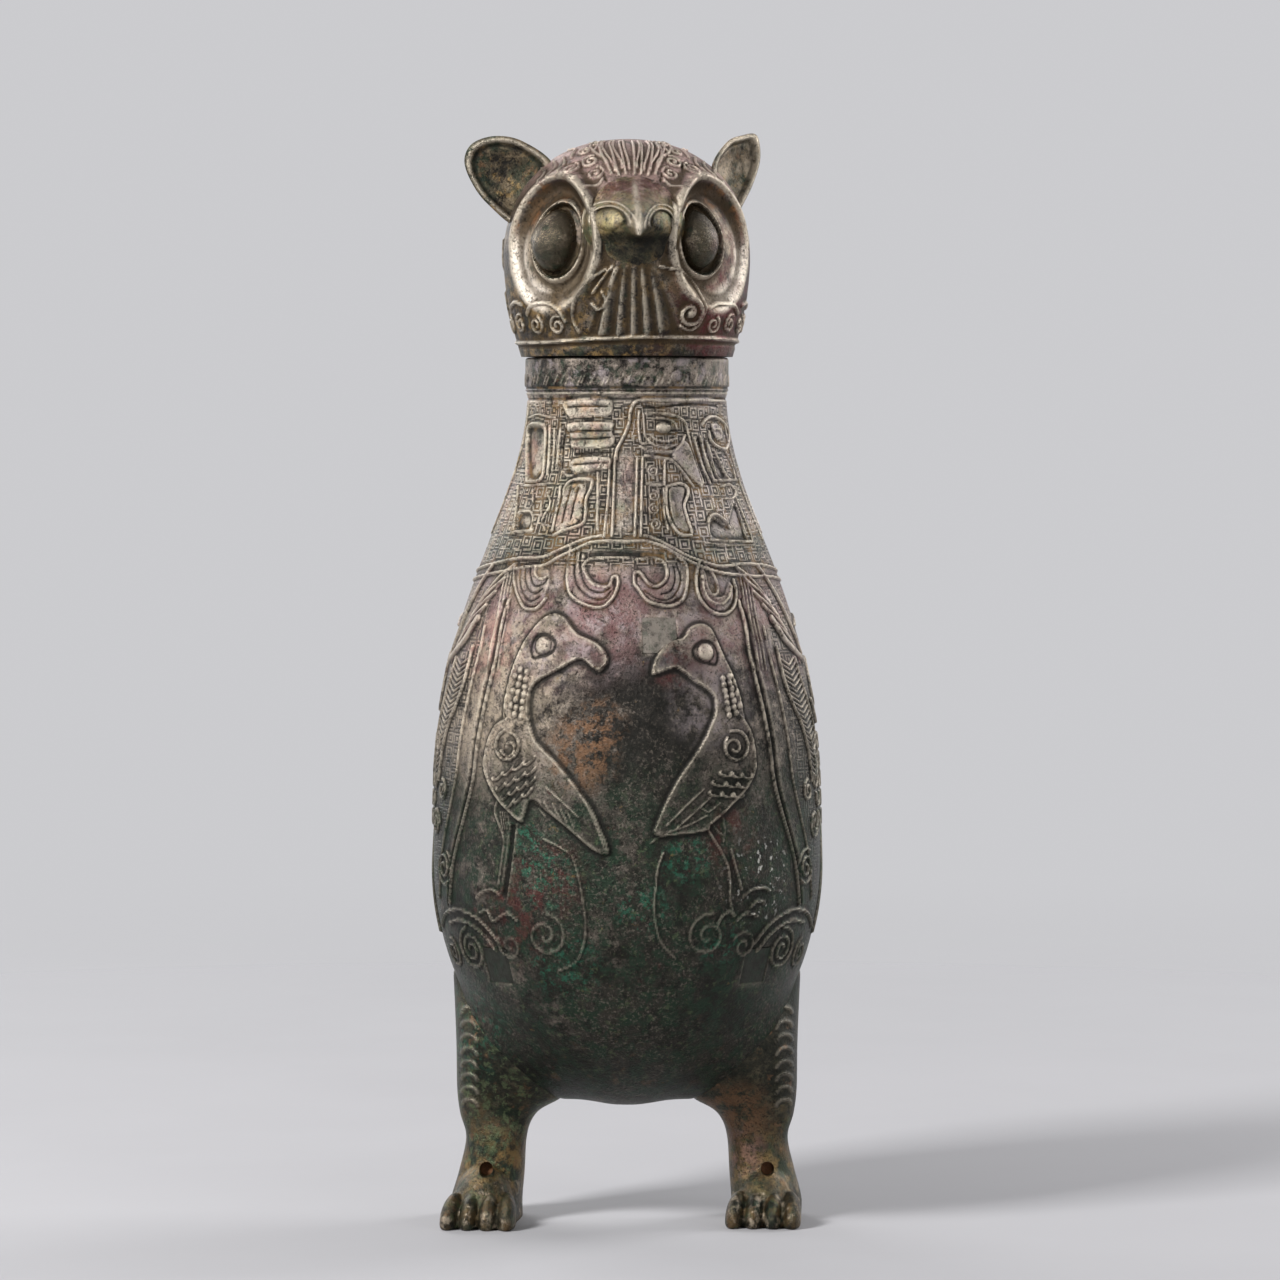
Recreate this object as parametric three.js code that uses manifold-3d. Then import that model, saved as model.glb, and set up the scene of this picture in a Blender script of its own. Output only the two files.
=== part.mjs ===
// A lidded bronze wine vessel in the form of a standing owl, in millimetres, +Z up.
// The owl faces -Y. The origin is on the table, under the axis of the belly.
// The vessel is cast as a shell with two hollow legs cast on to it. The head is the lid.
import * as THREE from 'three';
import { mergeVertices } from 'three/addons/utils/BufferGeometryUtils.js';
import Module from 'manifold-3d';

const wasm = await Module();
wasm.setup();
const { clamp, degToRad } = THREE.MathUtils;

// Driving dimensions of the vessel
const BELLY_RADIUS = 63.4;
const BELLY_WIDEST_Z = 118;
const BELLY_BOTTOM_Z = 38;
const NECK_RADIUS = 32.6;
const NECK_TOP_Z = 272;
const SHOULDER_SLOPE = 1.53;
const COLLAR_HEIGHT = 11.3;
const COLLAR_STEP = 0.7;
const WALL = 4;

// Driving dimensions of the lid
const LID_RIM_RADIUS = 34.6;
const LID_RIM_THICKNESS = 3.4;
const HEAD_RADIUS = 40.3;
const HEAD_WIDEST_ABOVE_RIM = 32;
const HEAD_HEIGHT = 71;
const HEAD_WALL = 5;
const DOME_SQUARENESS = 2.2;
const HEAD_TAPER = 1.8;
const LID_TURN = degToRad(4);
const TONGUE_DEPTH = 17;
const TONGUE_WALL = 3;
const TONGUE_FLANGE = 3.2;
const TONGUE_FLANGE_THICKNESS = 2.6;
const TONGUE_CLEARANCE = 0.5;

// Face: places are an azimuth from the front and a height above the lid's rim
const SOCKET_AZIMUTH = degToRad(46);
const EYE_AZIMUTH = degToRad(37);
const EYE_ABOVE_RIM = 36;
const SOCKET_HALF_WIDTH = 20;
const SOCKET_HALF_HEIGHT = 22.5;
const SOCKET_DEPTH = 3;
const EYEBALL_HALF_WIDTH = 9.5;
const EYEBALL_HALF_HEIGHT = 11.5;
const EYEBALL_BULGE = 7.5;
const BROW_RIDGE = 1.4;
const BROW_RIDGE_SHARE = 0.16;
const BEAK_ABOVE_RIM = 43;
const BEAK_WIDTH = 33;
const BEAK_HEIGHT = 32;
const BEAK_REACH = 18;
const BEAK_HOOK = 5.5;
const BEAK_SUNK = 2;
const BEAK_NARROWING = 0.55;
const BEAK_CREST_PINCH = 0.1;
const BEAK_TAPER = 1.5;
const BEAK_HOOK_SLOPE = 2.2;

// Cast relief: the main raised lines. A point is an azimuth from the front in degrees, growing to the
// owl's left, and a height: above the table on the vessel, above the rim on the lid.
// The finer ornament is left out.
const RELIEF_RISE = 0.9;
const RELIEF_ROOT = 1.2;
const RELIEF_WIDTH = 1.8;
const RELIEF_STEP = 16;
const CURL_STEP = 9;

const RIGHT_BIRD = [
  [[-39.5, 168], [-38.5, 181], [-35.5, 191], [-29, 199.5], [-21, 199.5], [-12.5, 193], [-6.5, 188]],
  [
    [-8.5, 183.5], [-15.5, 187], [-24.5, 182], [-31, 175],
    [-29.5, 164.5], [-22.5, 156], [-12.5, 143.5], [-5.5, 128],
  ],
  [[-39, 167], [-44.5, 161], [-46, 152.5], [-42.5, 145], [-31.5, 135.5]],
  [[-29, 142], [-17.5, 134], [-8, 127]],
];
const LEFT_BIRD = [
  [[37.5, 168], [36, 177], [32.5, 187], [28.5, 196.5], [21.5, 196.5], [12.5, 191], [8.5, 184.5]],
  [
    [8.5, 182.5], [16, 184.5], [24.5, 178], [28, 173],
    [24, 162.5], [16.5, 151], [12, 143], [8, 132.5],
  ],
  [[37, 168], [40.5, 158], [38.5, 148], [32, 141], [25, 135]],
  [[25, 143.5], [16, 133], [6.5, 129]],
];
const LOOPS = [
  [[-24.5, 130], [-15.5, 124], [-12.5, 109.5], [-14, 93], [-22, 88]],
  [[10, 126], [8.5, 115.5], [8.5, 103.5], [15, 92]],
];
const WING = [
  [[43.5, 205], [43.5, 188.5], [46, 167.5], [48, 149], [56, 127], [62.5, 106.5]],
  [[42, 95.5], [49, 102], [61, 105], [78, 98]],
];
const PINIONS = 4;
const PINION_START = { azimuth: 104, z: 190, turn: 12, drop: 7 };
const PINION_END = { azimuth: 82, z: 96, turn: 25, drop: -2 };
const PINION_BEND = { azimuth: 7, z: 5 };
const SHOULDER_SPIRAL = { azimuth: 92, z: 176, outer: 12, inner: 7, turns: 1.2, start: 200 };
const FRIEZE_FOOT = [[0, 226], [24, 220], [46, 215], [90, 212.5]];
const FRIEZE = [
  [[-4.5, 227], [-4.5, 253]],
  [[4.5, 227], [4.5, 253]],
  [[-18, 227], [-18, 244.5], [-31, 243], [-34, 226.5]],
  [[-48, 242.5], [-51, 261.5], [-73, 261.5], [-66, 242.5]],
  [[8, 253], [8, 264], [33, 264], [38.5, 242.5]],
  [[18, 228], [18, 243], [29.5, 243], [29.5, 227]],
  [[48.5, 257.5], [51, 265], [63, 262.5]],
  [[40, 225], [60, 225], [66, 238], [67, 262]],
];
const FRIEZE_TOP_Z = 269;
const CURLS = [
  [[-24.5, 219], [-21, 208], [-12.5, 203.7], [-4, 209]],
  [[24.5, 219], [21, 208], [13, 204], [4, 208.5]],
  [[-47, 215], [-42, 205], [-33, 203]],
  [[27.5, 217], [28.5, 205], [37, 202], [43, 214]],
];
const BACK_FEATHERS = { rows: 5, top: 240, drop: 26, rise: 6, reach: 15 };

const PLEATS = [-14, -7.5, 0, 8, 16];
const PLEAT_TOP_ABOVE_RIM = 25;
const PLEAT_BOTTOM_ABOVE_RIM = 9;
const PLEAT_SPREAD = 0.55;
const CHEEKS = [
  [[-19, 24], [-30.5, 17], [-29, 9.5]],
  [[22, 24], [36.5, 17], [35, 10.5]],
];
const CROWN = [
  [[-15, 61.5], [-27, 68.5]],
  [[15, 61.5], [27, 68.5]],
];
const NAPE = { rows: 3, top: 52, drop: 16, rise: 5.5, reach: 24 };

// Ears: outlines in their own planes, as shares of the reach out and the rise from the root of the ear
const EAR_REACH = 17;
const EAR_RISE = 18;
const EAR_THICKNESS = 3.4;
const EAR_CUP = 4;
const EAR_ROOT_CUP = 1.6;
const EAR_FORWARD = 3;
const EAR_ROOT_BELOW_CROWN = 16;
const EAR_HINGE_INSIDE = 4.2;
const EAR_OUTWARD = 2;
const EAR_PIN_REACH = 1.4;
const EARS = [
  {
    word: 'left',
    side: 1,
    sweep: degToRad(48),
    outline: [
      [-0.7, 0.4], [-0.24, 0.84], [0.24, 0.98], [0.68, 1.01], [0.82, 0.72],
      [0.75, 0.39], [0.41, -0.11], [-0.12, -0.56], [-0.6, -0.17],
    ],
  },
  {
    word: 'right',
    side: -1,
    sweep: degToRad(6),
    outline: [
      [-0.7, 0.4], [-0.12, 0.83], [0.41, 0.93], [0.85, 0.8], [1.01, 0.5],
      [0.88, 0.11], [0.56, -0.3], [-0.06, -0.72], [-0.6, -0.28],
    ],
  },
];

// Driving dimensions of the legs. The reaches to the front and back are from the middle of the ankle.
const LEG_INSIDE_BELLY = 7.4;
const LEG_SETBACK = 2;
const LEG_SQUARENESS = 2.6;
const THIGH_WIDTH = 32;
const THIGH_DEPTH = 40;
const THIGH_TOP_DEPTH = 24;
const THIGH_TOP_Z = 82;
const HIP_DEPTH = 32;
const HIP_ABOVE_BELLY_BOTTOM = 6;
const ARCH_WIDTH = 24.5;
const ARCH_TUCK = 1;
const ARCH_BELOW_BELLY_BOTTOM = 3;
const ANKLE_WIDTH = 20;
const ANKLE_TUCK = 3;
const ANKLE_DEPTH = 25;
const ANKLE_Z = 27;
const INSTEP_FRONT = 13.5;
const INSTEP_BACK = 13.5;
const FOOT_TUCK = 10;
const FOOT_WIDTH = 23;
const FOOT_FRONT = 16;
const RIGHT_FOOT_AHEAD = 4;
const FOOT_HEEL = 15;
const FOOT_EDGE_HEIGHT = 7;
const FOOT_HEIGHT = 16;
const FEET = [
  { word: 'left', side: 1, front: FOOT_FRONT, swing: degToRad(-4.5) },
  { word: 'right', side: -1, front: FOOT_FRONT + RIGHT_FOOT_AHEAD, swing: degToRad(-6) },
];
const TOE_COUNT = 4;
const TOE_LENGTH = 20;
const TOE_HEIGHT = 12;
const TOE_OVERLAP = 1.24;
const TOE_AHEAD = 1.5;
const TOE_CENTRE_Z = 2.6;
const TOE_FAN = degToRad(5);
const LEG_WALL = 3.6;
const CORE_ABOVE_BELLY_BOTTOM = 3;
const VENT_RADIUS = 2.2;
const VENT_DEPTH = 14;
const VENT_Z = 18;

// Cast-on locks: a pin through the wall with a head of metal behind it
const LEG_LOCK_INSET = 8;
const LOCK_PIN_RADIUS = 2.6;
const LOCK_HEAD_RADIUS = 5.5;
const EAR_PIN_RADIUS = 1.8;
const LID_LOCK_HEAD_RADIUS = 4.4;

// Chaplets, the square bronze spacers that held the core while the metal was poured
const CHAPLET_SIDE = 11;
const LOWER_CHAPLETS_Z = 88;
const UPPER_CHAPLETS_Z = 194.6;
const CHAPLET_RINGS = [
  { z: LOWER_CHAPLETS_Z, turn: degToRad(45) },
  { z: UPPER_CHAPLETS_Z, turn: degToRad(11) },
];
const CHAPLETS_IN_RING = 4;
const LID_CHAPLET_SIDE = 6;
const LID_CHAPLETS = 3;
const LID_CHAPLET_ABOVE_RIM = 56;
const LID_CHAPLET_PITCH = degToRad(45);

// Pieces that touch keep this gap
const GAP = 0.3;
// Points nearer than this are one corner, and a slope or a direction is taken over these spans
const SAME_PLACE = 1e-4;
const SLOPE_SPAN = 0.5;
const DIRECTION_SHARE = 0.02;

// Facets: steps round each form and steps up it
const ROUND_STEPS = 44;
const LOWER_ROWS = 10;
const UPPER_ROWS = 14;
const LOWER_INSIDE_ROWS = 7;
const UPPER_INSIDE_ROWS = 9;
const CHEEK_ROWS = 9;
const DOME_ROWS = 11;
const CHEEK_INSIDE_ROWS = 5;
const DOME_INSIDE_ROWS = 7;
const SPIRAL_STEPS = 8;
const BEAK_STEPS = 20;
const BEAK_ROWS = 14;
const BALL_STEPS = 10;
const BALL_ROWS = 6;
const HEAD_STEPS = 56;
const LEG_STEPS = 22;
const LEG_ROWS = 16;
const CORE_STEPS = 16;
const CORE_ROWS = 10;
const PIN_STEPS = 10;
const VENT_STEPS = 12;
const EAR_STEPS = 28;
const EAR_ROWS = 10;

// Places worked out from the driving dimensions
const MOUTH_Z = NECK_TOP_Z + COLLAR_HEIGHT;
const LID_RIM_Z = MOUTH_Z + GAP;
const HEAD_WIDEST_Z = LID_RIM_Z + HEAD_WIDEST_ABOVE_RIM;
const HEAD_TOP_Z = LID_RIM_Z + HEAD_HEIGHT;
const MOUTH_RADIUS = NECK_RADIUS - WALL;
const LEG_OUTER = BELLY_RADIUS - LEG_INSIDE_BELLY;
const ARCH_OUTER = LEG_OUTER - ARCH_TUCK;
const ANKLE_OUTER = LEG_OUTER - ANKLE_TUCK;
const LEG_SPREAD = LEG_OUTER - FOOT_TUCK;

// Materials
const bronze = new THREE.MeshStandardMaterial({ color: 0x4a4638, roughness: 0.5, metalness: 0.8 });
const redBronze = new THREE.MeshStandardMaterial({ color: 0x5c4038, roughness: 0.5, metalness: 0.8 });
const darkBronze = new THREE.MeshStandardMaterial({ color: 0x2c2f29, roughness: 0.6, metalness: 0.7 });
const firedClay = new THREE.MeshStandardMaterial({ color: 0x8f6a4a, roughness: 0.95, metalness: 0 });

// A closed geometry becomes a solid that can be cut and joined
function solidOf(geometry) {
  const bare = geometry.clone();
  bare.deleteAttribute('normal');
  bare.deleteAttribute('uv');
  const merged = mergeVertices(bare, SAME_PLACE);
  const corners = merged.getIndex().array;
  const triangles = [];
  for (let i = 0; i < corners.length; i += 3) {
    const [a, b, c] = [corners[i], corners[i + 1], corners[i + 2]];
    if (a !== b && b !== c && c !== a) triangles.push(a, b, c);
  }
  return new wasm.Manifold(new wasm.Mesh({
    numProp: 3,
    vertProperties: new Float32Array(merged.getAttribute('position').array),
    triVerts: new Uint32Array(triangles),
  }));
}

function meshOf(name, solid, material) {
  const found = solid.getMesh();
  const geometry = new THREE.BufferGeometry();
  geometry.setAttribute('position', new THREE.BufferAttribute(new Float32Array(found.vertProperties), 3));
  geometry.setIndex(new THREE.BufferAttribute(new Uint32Array(found.triVerts), 1));
  geometry.computeVertexNormals();
  const mesh = new THREE.Mesh(geometry, material);
  mesh.name = name;
  return mesh;
}

// A profile of [radius, height] turned about the Z axis
function turned(profile, steps = ROUND_STEPS) {
  const points = profile.map(([radius, height]) => new THREE.Vector2(radius, height));
  return new THREE.LatheGeometry(points, steps).rotateX(Math.PI / 2);
}

// An upright column whose sections are superellipses: section(t) gives its middle, half sizes and height
function column(section, rows, steps) {
  const geometry = new THREE.CylinderGeometry(1, 1, 1, steps, rows);
  const position = geometry.getAttribute('position');
  const point = new THREE.Vector3();
  for (let i = 0; i < position.count; i += 1) {
    point.fromBufferAttribute(position, i);
    const { x, y, z, halfX, halfY } = section(point.y + 0.5);
    const reach = Math.hypot(point.x, point.z);
    const angle = Math.atan2(-point.z, point.x);
    const cos = Math.cos(angle);
    const sin = Math.sin(angle);
    const power = Math.abs(cos) ** LEG_SQUARENESS + Math.abs(sin) ** LEG_SQUARENESS;
    const round = reach * power ** (-1 / LEG_SQUARENESS);
    position.setXYZ(i, x + halfX * cos * round, y + halfY * sin * round, z);
  }
  return geometry;
}

const smooth = (t) => t * t * (3 - 2 * t);
const mix = (a, b, t) => a + (b - a) * t;

// Outer radius of the vessel: half an ellipse below the widest place, a sloping shoulder above it
function vesselRadius(z) {
  if (z <= BELLY_WIDEST_Z) {
    const down = (BELLY_WIDEST_Z - z) / (BELLY_WIDEST_Z - BELLY_BOTTOM_Z);
    return BELLY_RADIUS * Math.sqrt(Math.max(0, 1 - down * down));
  }
  const up = Math.min(1, (z - BELLY_WIDEST_Z) / (NECK_TOP_Z - BELLY_WIDEST_Z));
  return mix(NECK_RADIUS, BELLY_RADIUS, (1 + Math.cos(Math.PI * up ** SHOULDER_SLOPE)) / 2);
}

// The outline of the vessel from the bottom of the belly to the neck, pushed out by an offset
function vesselOutline(offset, belowSteps, aboveSteps) {
  const outline = [];
  for (let i = 0; i <= belowSteps; i += 1) {
    const angle = (Math.PI / 2) * (i / belowSteps);
    const height = BELLY_WIDEST_Z - BELLY_BOTTOM_Z + offset;
    outline.push([(BELLY_RADIUS + offset) * Math.sin(angle), BELLY_WIDEST_Z - height * Math.cos(angle)]);
  }
  for (let i = 1; i <= aboveSteps; i += 1) {
    const z = mix(BELLY_WIDEST_Z, NECK_TOP_Z, i / aboveSteps);
    outline.push([vesselRadius(z) + offset, z]);
  }
  return outline;
}

// The space inside the vessel, up through the mouth
function vesselInside(shrink, topZ) {
  const outline = vesselOutline(-WALL - shrink, LOWER_INSIDE_ROWS, UPPER_INSIDE_ROWS);
  return solidOf(turned([...outline, [MOUTH_RADIUS - shrink, topZ], [0, topZ]]));
}

// The whole outer form of the vessel, grown by an offset, with its collar
function vesselOutside(offset) {
  const collarRadius = NECK_RADIUS + COLLAR_STEP + offset;
  return solidOf(turned([
    ...vesselOutline(offset, LOWER_ROWS, UPPER_ROWS),
    [collarRadius, NECK_TOP_Z + COLLAR_STEP],
    [collarRadius, MOUTH_Z + offset],
    [0, MOUTH_Z + offset],
  ]));
}

const aboveMouth = MOUTH_Z + WALL;
const legOutside = vesselOutside(GAP);
const insideFree = vesselInside(GAP, NECK_TOP_Z);

// A square bar standing out from the axis through the wall, for a chaplet
function radialBar(side, azimuth, z, inner, outer) {
  const bar = new THREE.BoxGeometry(outer - inner, side, side);
  bar.translate((inner + outer) / 2, 0, z);
  bar.rotateZ(azimuth);
  return solidOf(bar);
}

const joined = (solids) => solids.reduce((all, solid) => all.add(solid));

// One raised line of the relief, on a turned form whose outer radius is known at an azimuth and a height
function raisedLine(points, radiusAt, step = RELIEF_STEP) {
  const path = points.map(([azimuth, z]) => new THREE.Vector3(degToRad(azimuth) * radiusAt(0, z), z, 0));
  const curve = new THREE.CatmullRomCurve3(path, false, 'centripetal');
  const steps = Math.max(2, Math.round(curve.getLength() / step));
  const place = (t) => {
    const { x, y: z } = curve.getPoint(clamp(t, 0, 1));
    const azimuth = x / radiusAt(0, z);
    const radius = radiusAt(azimuth, z);
    return new THREE.Vector3(radius * Math.sin(azimuth), -radius * Math.cos(azimuth), z);
  };
  const corners = [];
  for (let i = 0; i <= steps; i += 1) {
    const t = i / steps;
    const point = place(t);
    const along = place(t + DIRECTION_SHARE).sub(place(t - DIRECTION_SHARE)).normalize();
    const slope = radiusAt(0, point.z + SLOPE_SPAN) - radiusAt(0, point.z - SLOPE_SPAN);
    const out = new THREE.Vector3(point.x, point.y, 0).normalize();
    out.z = -slope / (2 * SLOPE_SPAN);
    out.normalize();
    const aside = new THREE.Vector3().crossVectors(out, along).normalize();
    [[-1, -RELIEF_ROOT], [1, -RELIEF_ROOT], [0, RELIEF_RISE]].forEach(([share, rise]) => {
      corners.push(point.clone().addScaledVector(aside, share * RELIEF_WIDTH).addScaledVector(out, rise));
    });
  }
  const triangles = [0, 2, 1];
  for (let i = 0; i < steps; i += 1) {
    for (let j = 0; j < 3; j += 1) {
      const [a, b] = [3 * i + j, 3 * i + ((j + 1) % 3)];
      triangles.push(a, b, b + 3, a, b + 3, a + 3);
    }
  }
  triangles.push(3 * steps, 3 * steps + 1, 3 * steps + 2);
  const geometry = new THREE.BufferGeometry().setFromPoints(corners);
  geometry.setIndex(triangles);
  return solidOf(geometry);
}

const onVessel = (azimuth, z) => vesselRadius(z);
const mirrored = (points) => points.map(([azimuth, z]) => [-azimuth, z]);
const behind = (points) => points.map(([azimuth, z]) => [azimuth + 180, z]);

function pinions() {
  const made = [];
  for (let i = 0; i < PINIONS; i += 1) {
    const start = [PINION_START.azimuth + i * PINION_START.turn, PINION_START.z - i * PINION_START.drop];
    const end = [PINION_END.azimuth + i * PINION_END.turn, PINION_END.z - i * PINION_END.drop];
    const bend = [(start[0] + end[0]) / 2 + PINION_BEND.azimuth, (start[1] + end[1]) / 2 + PINION_BEND.z];
    made.push([start, bend, end]);
  }
  return made;
}

function shoulderSpiral() {
  const { azimuth, z, outer, inner, turns, start } = SHOULDER_SPIRAL;
  const points = [];
  const count = Math.round(turns * SPIRAL_STEPS);
  for (let i = 0; i <= count; i += 1) {
    const reach = mix(outer, inner, i / count);
    const angle = degToRad(start) + (2 * Math.PI * turns * i) / count;
    const up = z + reach * Math.sin(angle);
    points.push([azimuth + THREE.MathUtils.radToDeg((reach * Math.cos(angle)) / vesselRadius(up)), up]);
  }
  return points;
}

// Chevrons one under the other, for rows of feathers
function chevrons(centre, { rows, top, drop, rise, reach }) {
  const made = [];
  for (let i = 0; i < rows; i += 1) {
    const z = top - i * drop;
    made.push([[centre - reach, z + rise], [centre, z - rise], [centre + reach, z + rise]]);
  }
  return made;
}

// A line all the way round
function raisedRing(z, radius) {
  return solidOf(turned([
    [radius - RELIEF_ROOT, z - RELIEF_WIDTH],
    [radius + RELIEF_RISE, z],
    [radius - RELIEF_ROOT, z + RELIEF_WIDTH],
    [radius - RELIEF_ROOT, z - RELIEF_WIDTH],
  ]));
}

function vesselRelief() {
  const wings = [...WING, ...pinions()];
  const spiral = shoulderSpiral();
  const feet = [FRIEZE_FOOT, mirrored(FRIEZE_FOOT)];
  const broad = [...wings, ...wings.map(mirrored), ...feet, ...feet.map(behind), ...LOOPS,
    ...chevrons(180, BACK_FEATHERS)];
  const fine = [...RIGHT_BIRD, ...LEFT_BIRD, ...FRIEZE, ...FRIEZE.map(behind), ...CURLS,
    spiral, mirrored(spiral)];
  return joined([
    raisedRing(FRIEZE_TOP_Z, vesselRadius(FRIEZE_TOP_Z)),
    ...broad.map((points) => raisedLine(points, onVessel)),
    ...fine.map((points) => raisedLine(points, onVessel, CURL_STEP)),
  ]);
}

// The first chaplet of a ring is turned from the front of the vessel, at -Y
function chapletBars(side) {
  const bars = [];
  CHAPLET_RINGS.forEach(({ z, turn }) => {
    for (let i = 0; i < CHAPLETS_IN_RING; i += 1) {
      const azimuth = turn - Math.PI / 2 + (2 * Math.PI * i) / CHAPLETS_IN_RING;
      bars.push(radialBar(side, azimuth, z, vesselRadius(z) - 3 * WALL, vesselRadius(z) + 3 * WALL));
    }
  });
  return bars;
}

const vesselShell = vesselOutside(0).add(vesselRelief()).subtract(vesselInside(0, aboveMouth));
const vesselChaplets = chapletBars(CHAPLET_SIDE).map((bar) => vesselShell.intersect(bar));

// One leg with its foot. A foot's side is +1 for the owl's left, at +X, and -1 for its right.
// Each section has how far its inner and outer faces stand from the axis, and its reach to the front and back.
function legSections(foot, inset) {
  const sole = {
    inner: LEG_SPREAD - FOOT_WIDTH / 2,
    outer: LEG_SPREAD + FOOT_WIDTH / 2,
    front: foot.front,
    back: FOOT_HEEL,
  };
  const ankle = {
    inner: ANKLE_OUTER - ANKLE_WIDTH,
    outer: ANKLE_OUTER,
    front: ANKLE_DEPTH / 2,
    back: ANKLE_DEPTH / 2,
  };
  const instep = {
    inner: (sole.inner + ankle.inner) / 2,
    outer: (sole.outer + ankle.outer) / 2,
    front: INSTEP_FRONT,
    back: INSTEP_BACK,
  };
  const thigh = (depth) => ({
    inner: LEG_OUTER - THIGH_WIDTH,
    outer: LEG_OUTER,
    front: depth / 2,
    back: depth / 2,
  });
  const sections = [
    { z: 0, ...sole },
    { z: FOOT_EDGE_HEIGHT, ...sole },
    { z: FOOT_HEIGHT, ...instep },
    { z: ANKLE_Z, ...ankle },
    { z: BELLY_BOTTOM_Z - ARCH_BELOW_BELLY_BOTTOM, ...ankle, inner: ARCH_OUTER - ARCH_WIDTH, outer: ARCH_OUTER },
    { z: BELLY_BOTTOM_Z + HIP_ABOVE_BELLY_BOTTOM, ...thigh(HIP_DEPTH) },
    { z: (BELLY_BOTTOM_Z + THIGH_TOP_Z) / 2, ...thigh(THIGH_DEPTH) },
    { z: THIGH_TOP_Z, ...thigh(THIGH_TOP_DEPTH) },
  ];
  const faces = new THREE.CatmullRomCurve3(
    sections.map(({ z, inner, outer }) => new THREE.Vector3(inner, outer, z)), false, 'centripetal');
  const reaches = new THREE.CatmullRomCurve3(
    sections.map(({ z, front, back }) => new THREE.Vector3(front, back, z)), false, 'centripetal');
  return (t) => {
    const face = faces.getPoint(t);
    const reach = reaches.getPoint(t);
    return {
      x: (foot.side * (face.x + face.y)) / 2,
      y: LEG_SETBACK + (reach.y - reach.x) / 2,
      z: mix(inset, THIGH_TOP_Z - inset, face.z / THIGH_TOP_Z),
      halfX: (face.y - face.x) / 2 - inset,
      halfY: (reach.x + reach.y) / 2 - inset,
    };
  };
}

// A foot is swung about the middle of its ankle: not at all at the ankle, and all the way at the sole
function swung(geometry, foot) {
  const position = geometry.getAttribute('position');
  const middle = foot.side * (ANKLE_OUTER - ANKLE_WIDTH / 2);
  for (let i = 0; i < position.count; i += 1) {
    const z = position.getZ(i);
    const angle = foot.swing * smooth(clamp(1 - z / ANKLE_Z, 0, 1));
    const [x, y] = [position.getX(i) - middle, position.getY(i) - LEG_SETBACK];
    position.setXYZ(i,
      middle + x * Math.cos(angle) - y * Math.sin(angle),
      LEG_SETBACK + x * Math.sin(angle) + y * Math.cos(angle),
      z);
  }
  return geometry;
}

function toes(foot) {
  const pitch = FOOT_WIDTH / TOE_COUNT;
  const made = [];
  for (let i = 0; i < TOE_COUNT; i += 1) {
    const place = i - (TOE_COUNT - 1) / 2;
    const toe = new THREE.SphereGeometry(1, BALL_STEPS, BALL_ROWS);
    toe.scale((pitch * TOE_OVERLAP) / 2, TOE_LENGTH / 2, TOE_HEIGHT - TOE_CENTRE_Z);
    toe.rotateZ(place * TOE_FAN);
    toe.translate(foot.side * LEG_SPREAD + place * pitch, LEG_SETBACK - foot.front - TOE_AHEAD, TOE_CENTRE_Z);
    made.push(solidOf(swung(toe, foot)));
  }
  const aboveTable = new THREE.BoxGeometry(4 * FOOT_WIDTH, 4 * TOE_LENGTH, 2 * TOE_HEIGHT);
  aboveTable.translate(foot.side * LEG_SPREAD, LEG_SETBACK - foot.front, TOE_HEIGHT);
  return joined(made).intersect(solidOf(aboveTable));
}

// Where the clay in a leg ends, and where its lock pin goes up through the wall of the belly
const CORE_TOP_Z = BELLY_BOTTOM_Z + CORE_ABOVE_BELLY_BOTTOM;
const LOCK_X = LEG_SPREAD - LEG_LOCK_INSET;
const LOCK_Z = BELLY_WIDEST_Z
  - (BELLY_WIDEST_Z - BELLY_BOTTOM_Z - WALL) * Math.sqrt(1 - (LOCK_X / (BELLY_RADIUS - WALL)) ** 2);

function legPin({ side }, radius) {
  const low = CORE_TOP_Z + GAP;
  const pin = new THREE.CylinderGeometry(radius, radius, LOCK_Z + WALL - low, PIN_STEPS).rotateX(Math.PI / 2);
  pin.translate(side * LOCK_X, LEG_SETBACK, (LOCK_Z + WALL + low) / 2);
  return solidOf(pin);
}

function legCavity(foot, inset, topZ) {
  const cavity = solidOf(swung(column(legSections(foot, inset), CORE_ROWS, CORE_STEPS), foot));
  const keep = new THREE.BoxGeometry(6 * FOOT_WIDTH, 6 * FOOT_WIDTH, topZ);
  keep.translate(foot.side * LEG_SPREAD, 0, topZ / 2);
  return cavity.intersect(solidOf(keep));
}

function legVent({ side }) {
  const vent = new THREE.CylinderGeometry(VENT_RADIUS, VENT_RADIUS, VENT_DEPTH, VENT_STEPS);
  vent.translate(side * LEG_SPREAD, LEG_SETBACK - LEG_WALL - VENT_DEPTH / 2, VENT_Z);
  return solidOf(vent);
}

function leg(foot) {
  const outer = solidOf(swung(column(legSections(foot, 0), LEG_ROWS, LEG_STEPS), foot)).add(toes(foot));
  const head = new THREE.SphereGeometry(LOCK_HEAD_RADIUS, BALL_STEPS, BALL_ROWS);
  head.translate(foot.side * LOCK_X, LEG_SETBACK, LOCK_Z);
  return outer
    .subtract(legOutside)
    .subtract(legCavity(foot, LEG_WALL, CORE_TOP_Z))
    .subtract(legVent(foot))
    .add(legPin(foot, LOCK_PIN_RADIUS))
    .add(solidOf(head).intersect(insideFree));
}

const vesselBody = vesselShell
  .subtract(joined(chapletBars(CHAPLET_SIDE + 2 * GAP)))
  .subtract(joined(FEET.map((foot) => legPin(foot, LOCK_PIN_RADIUS + GAP))));

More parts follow.
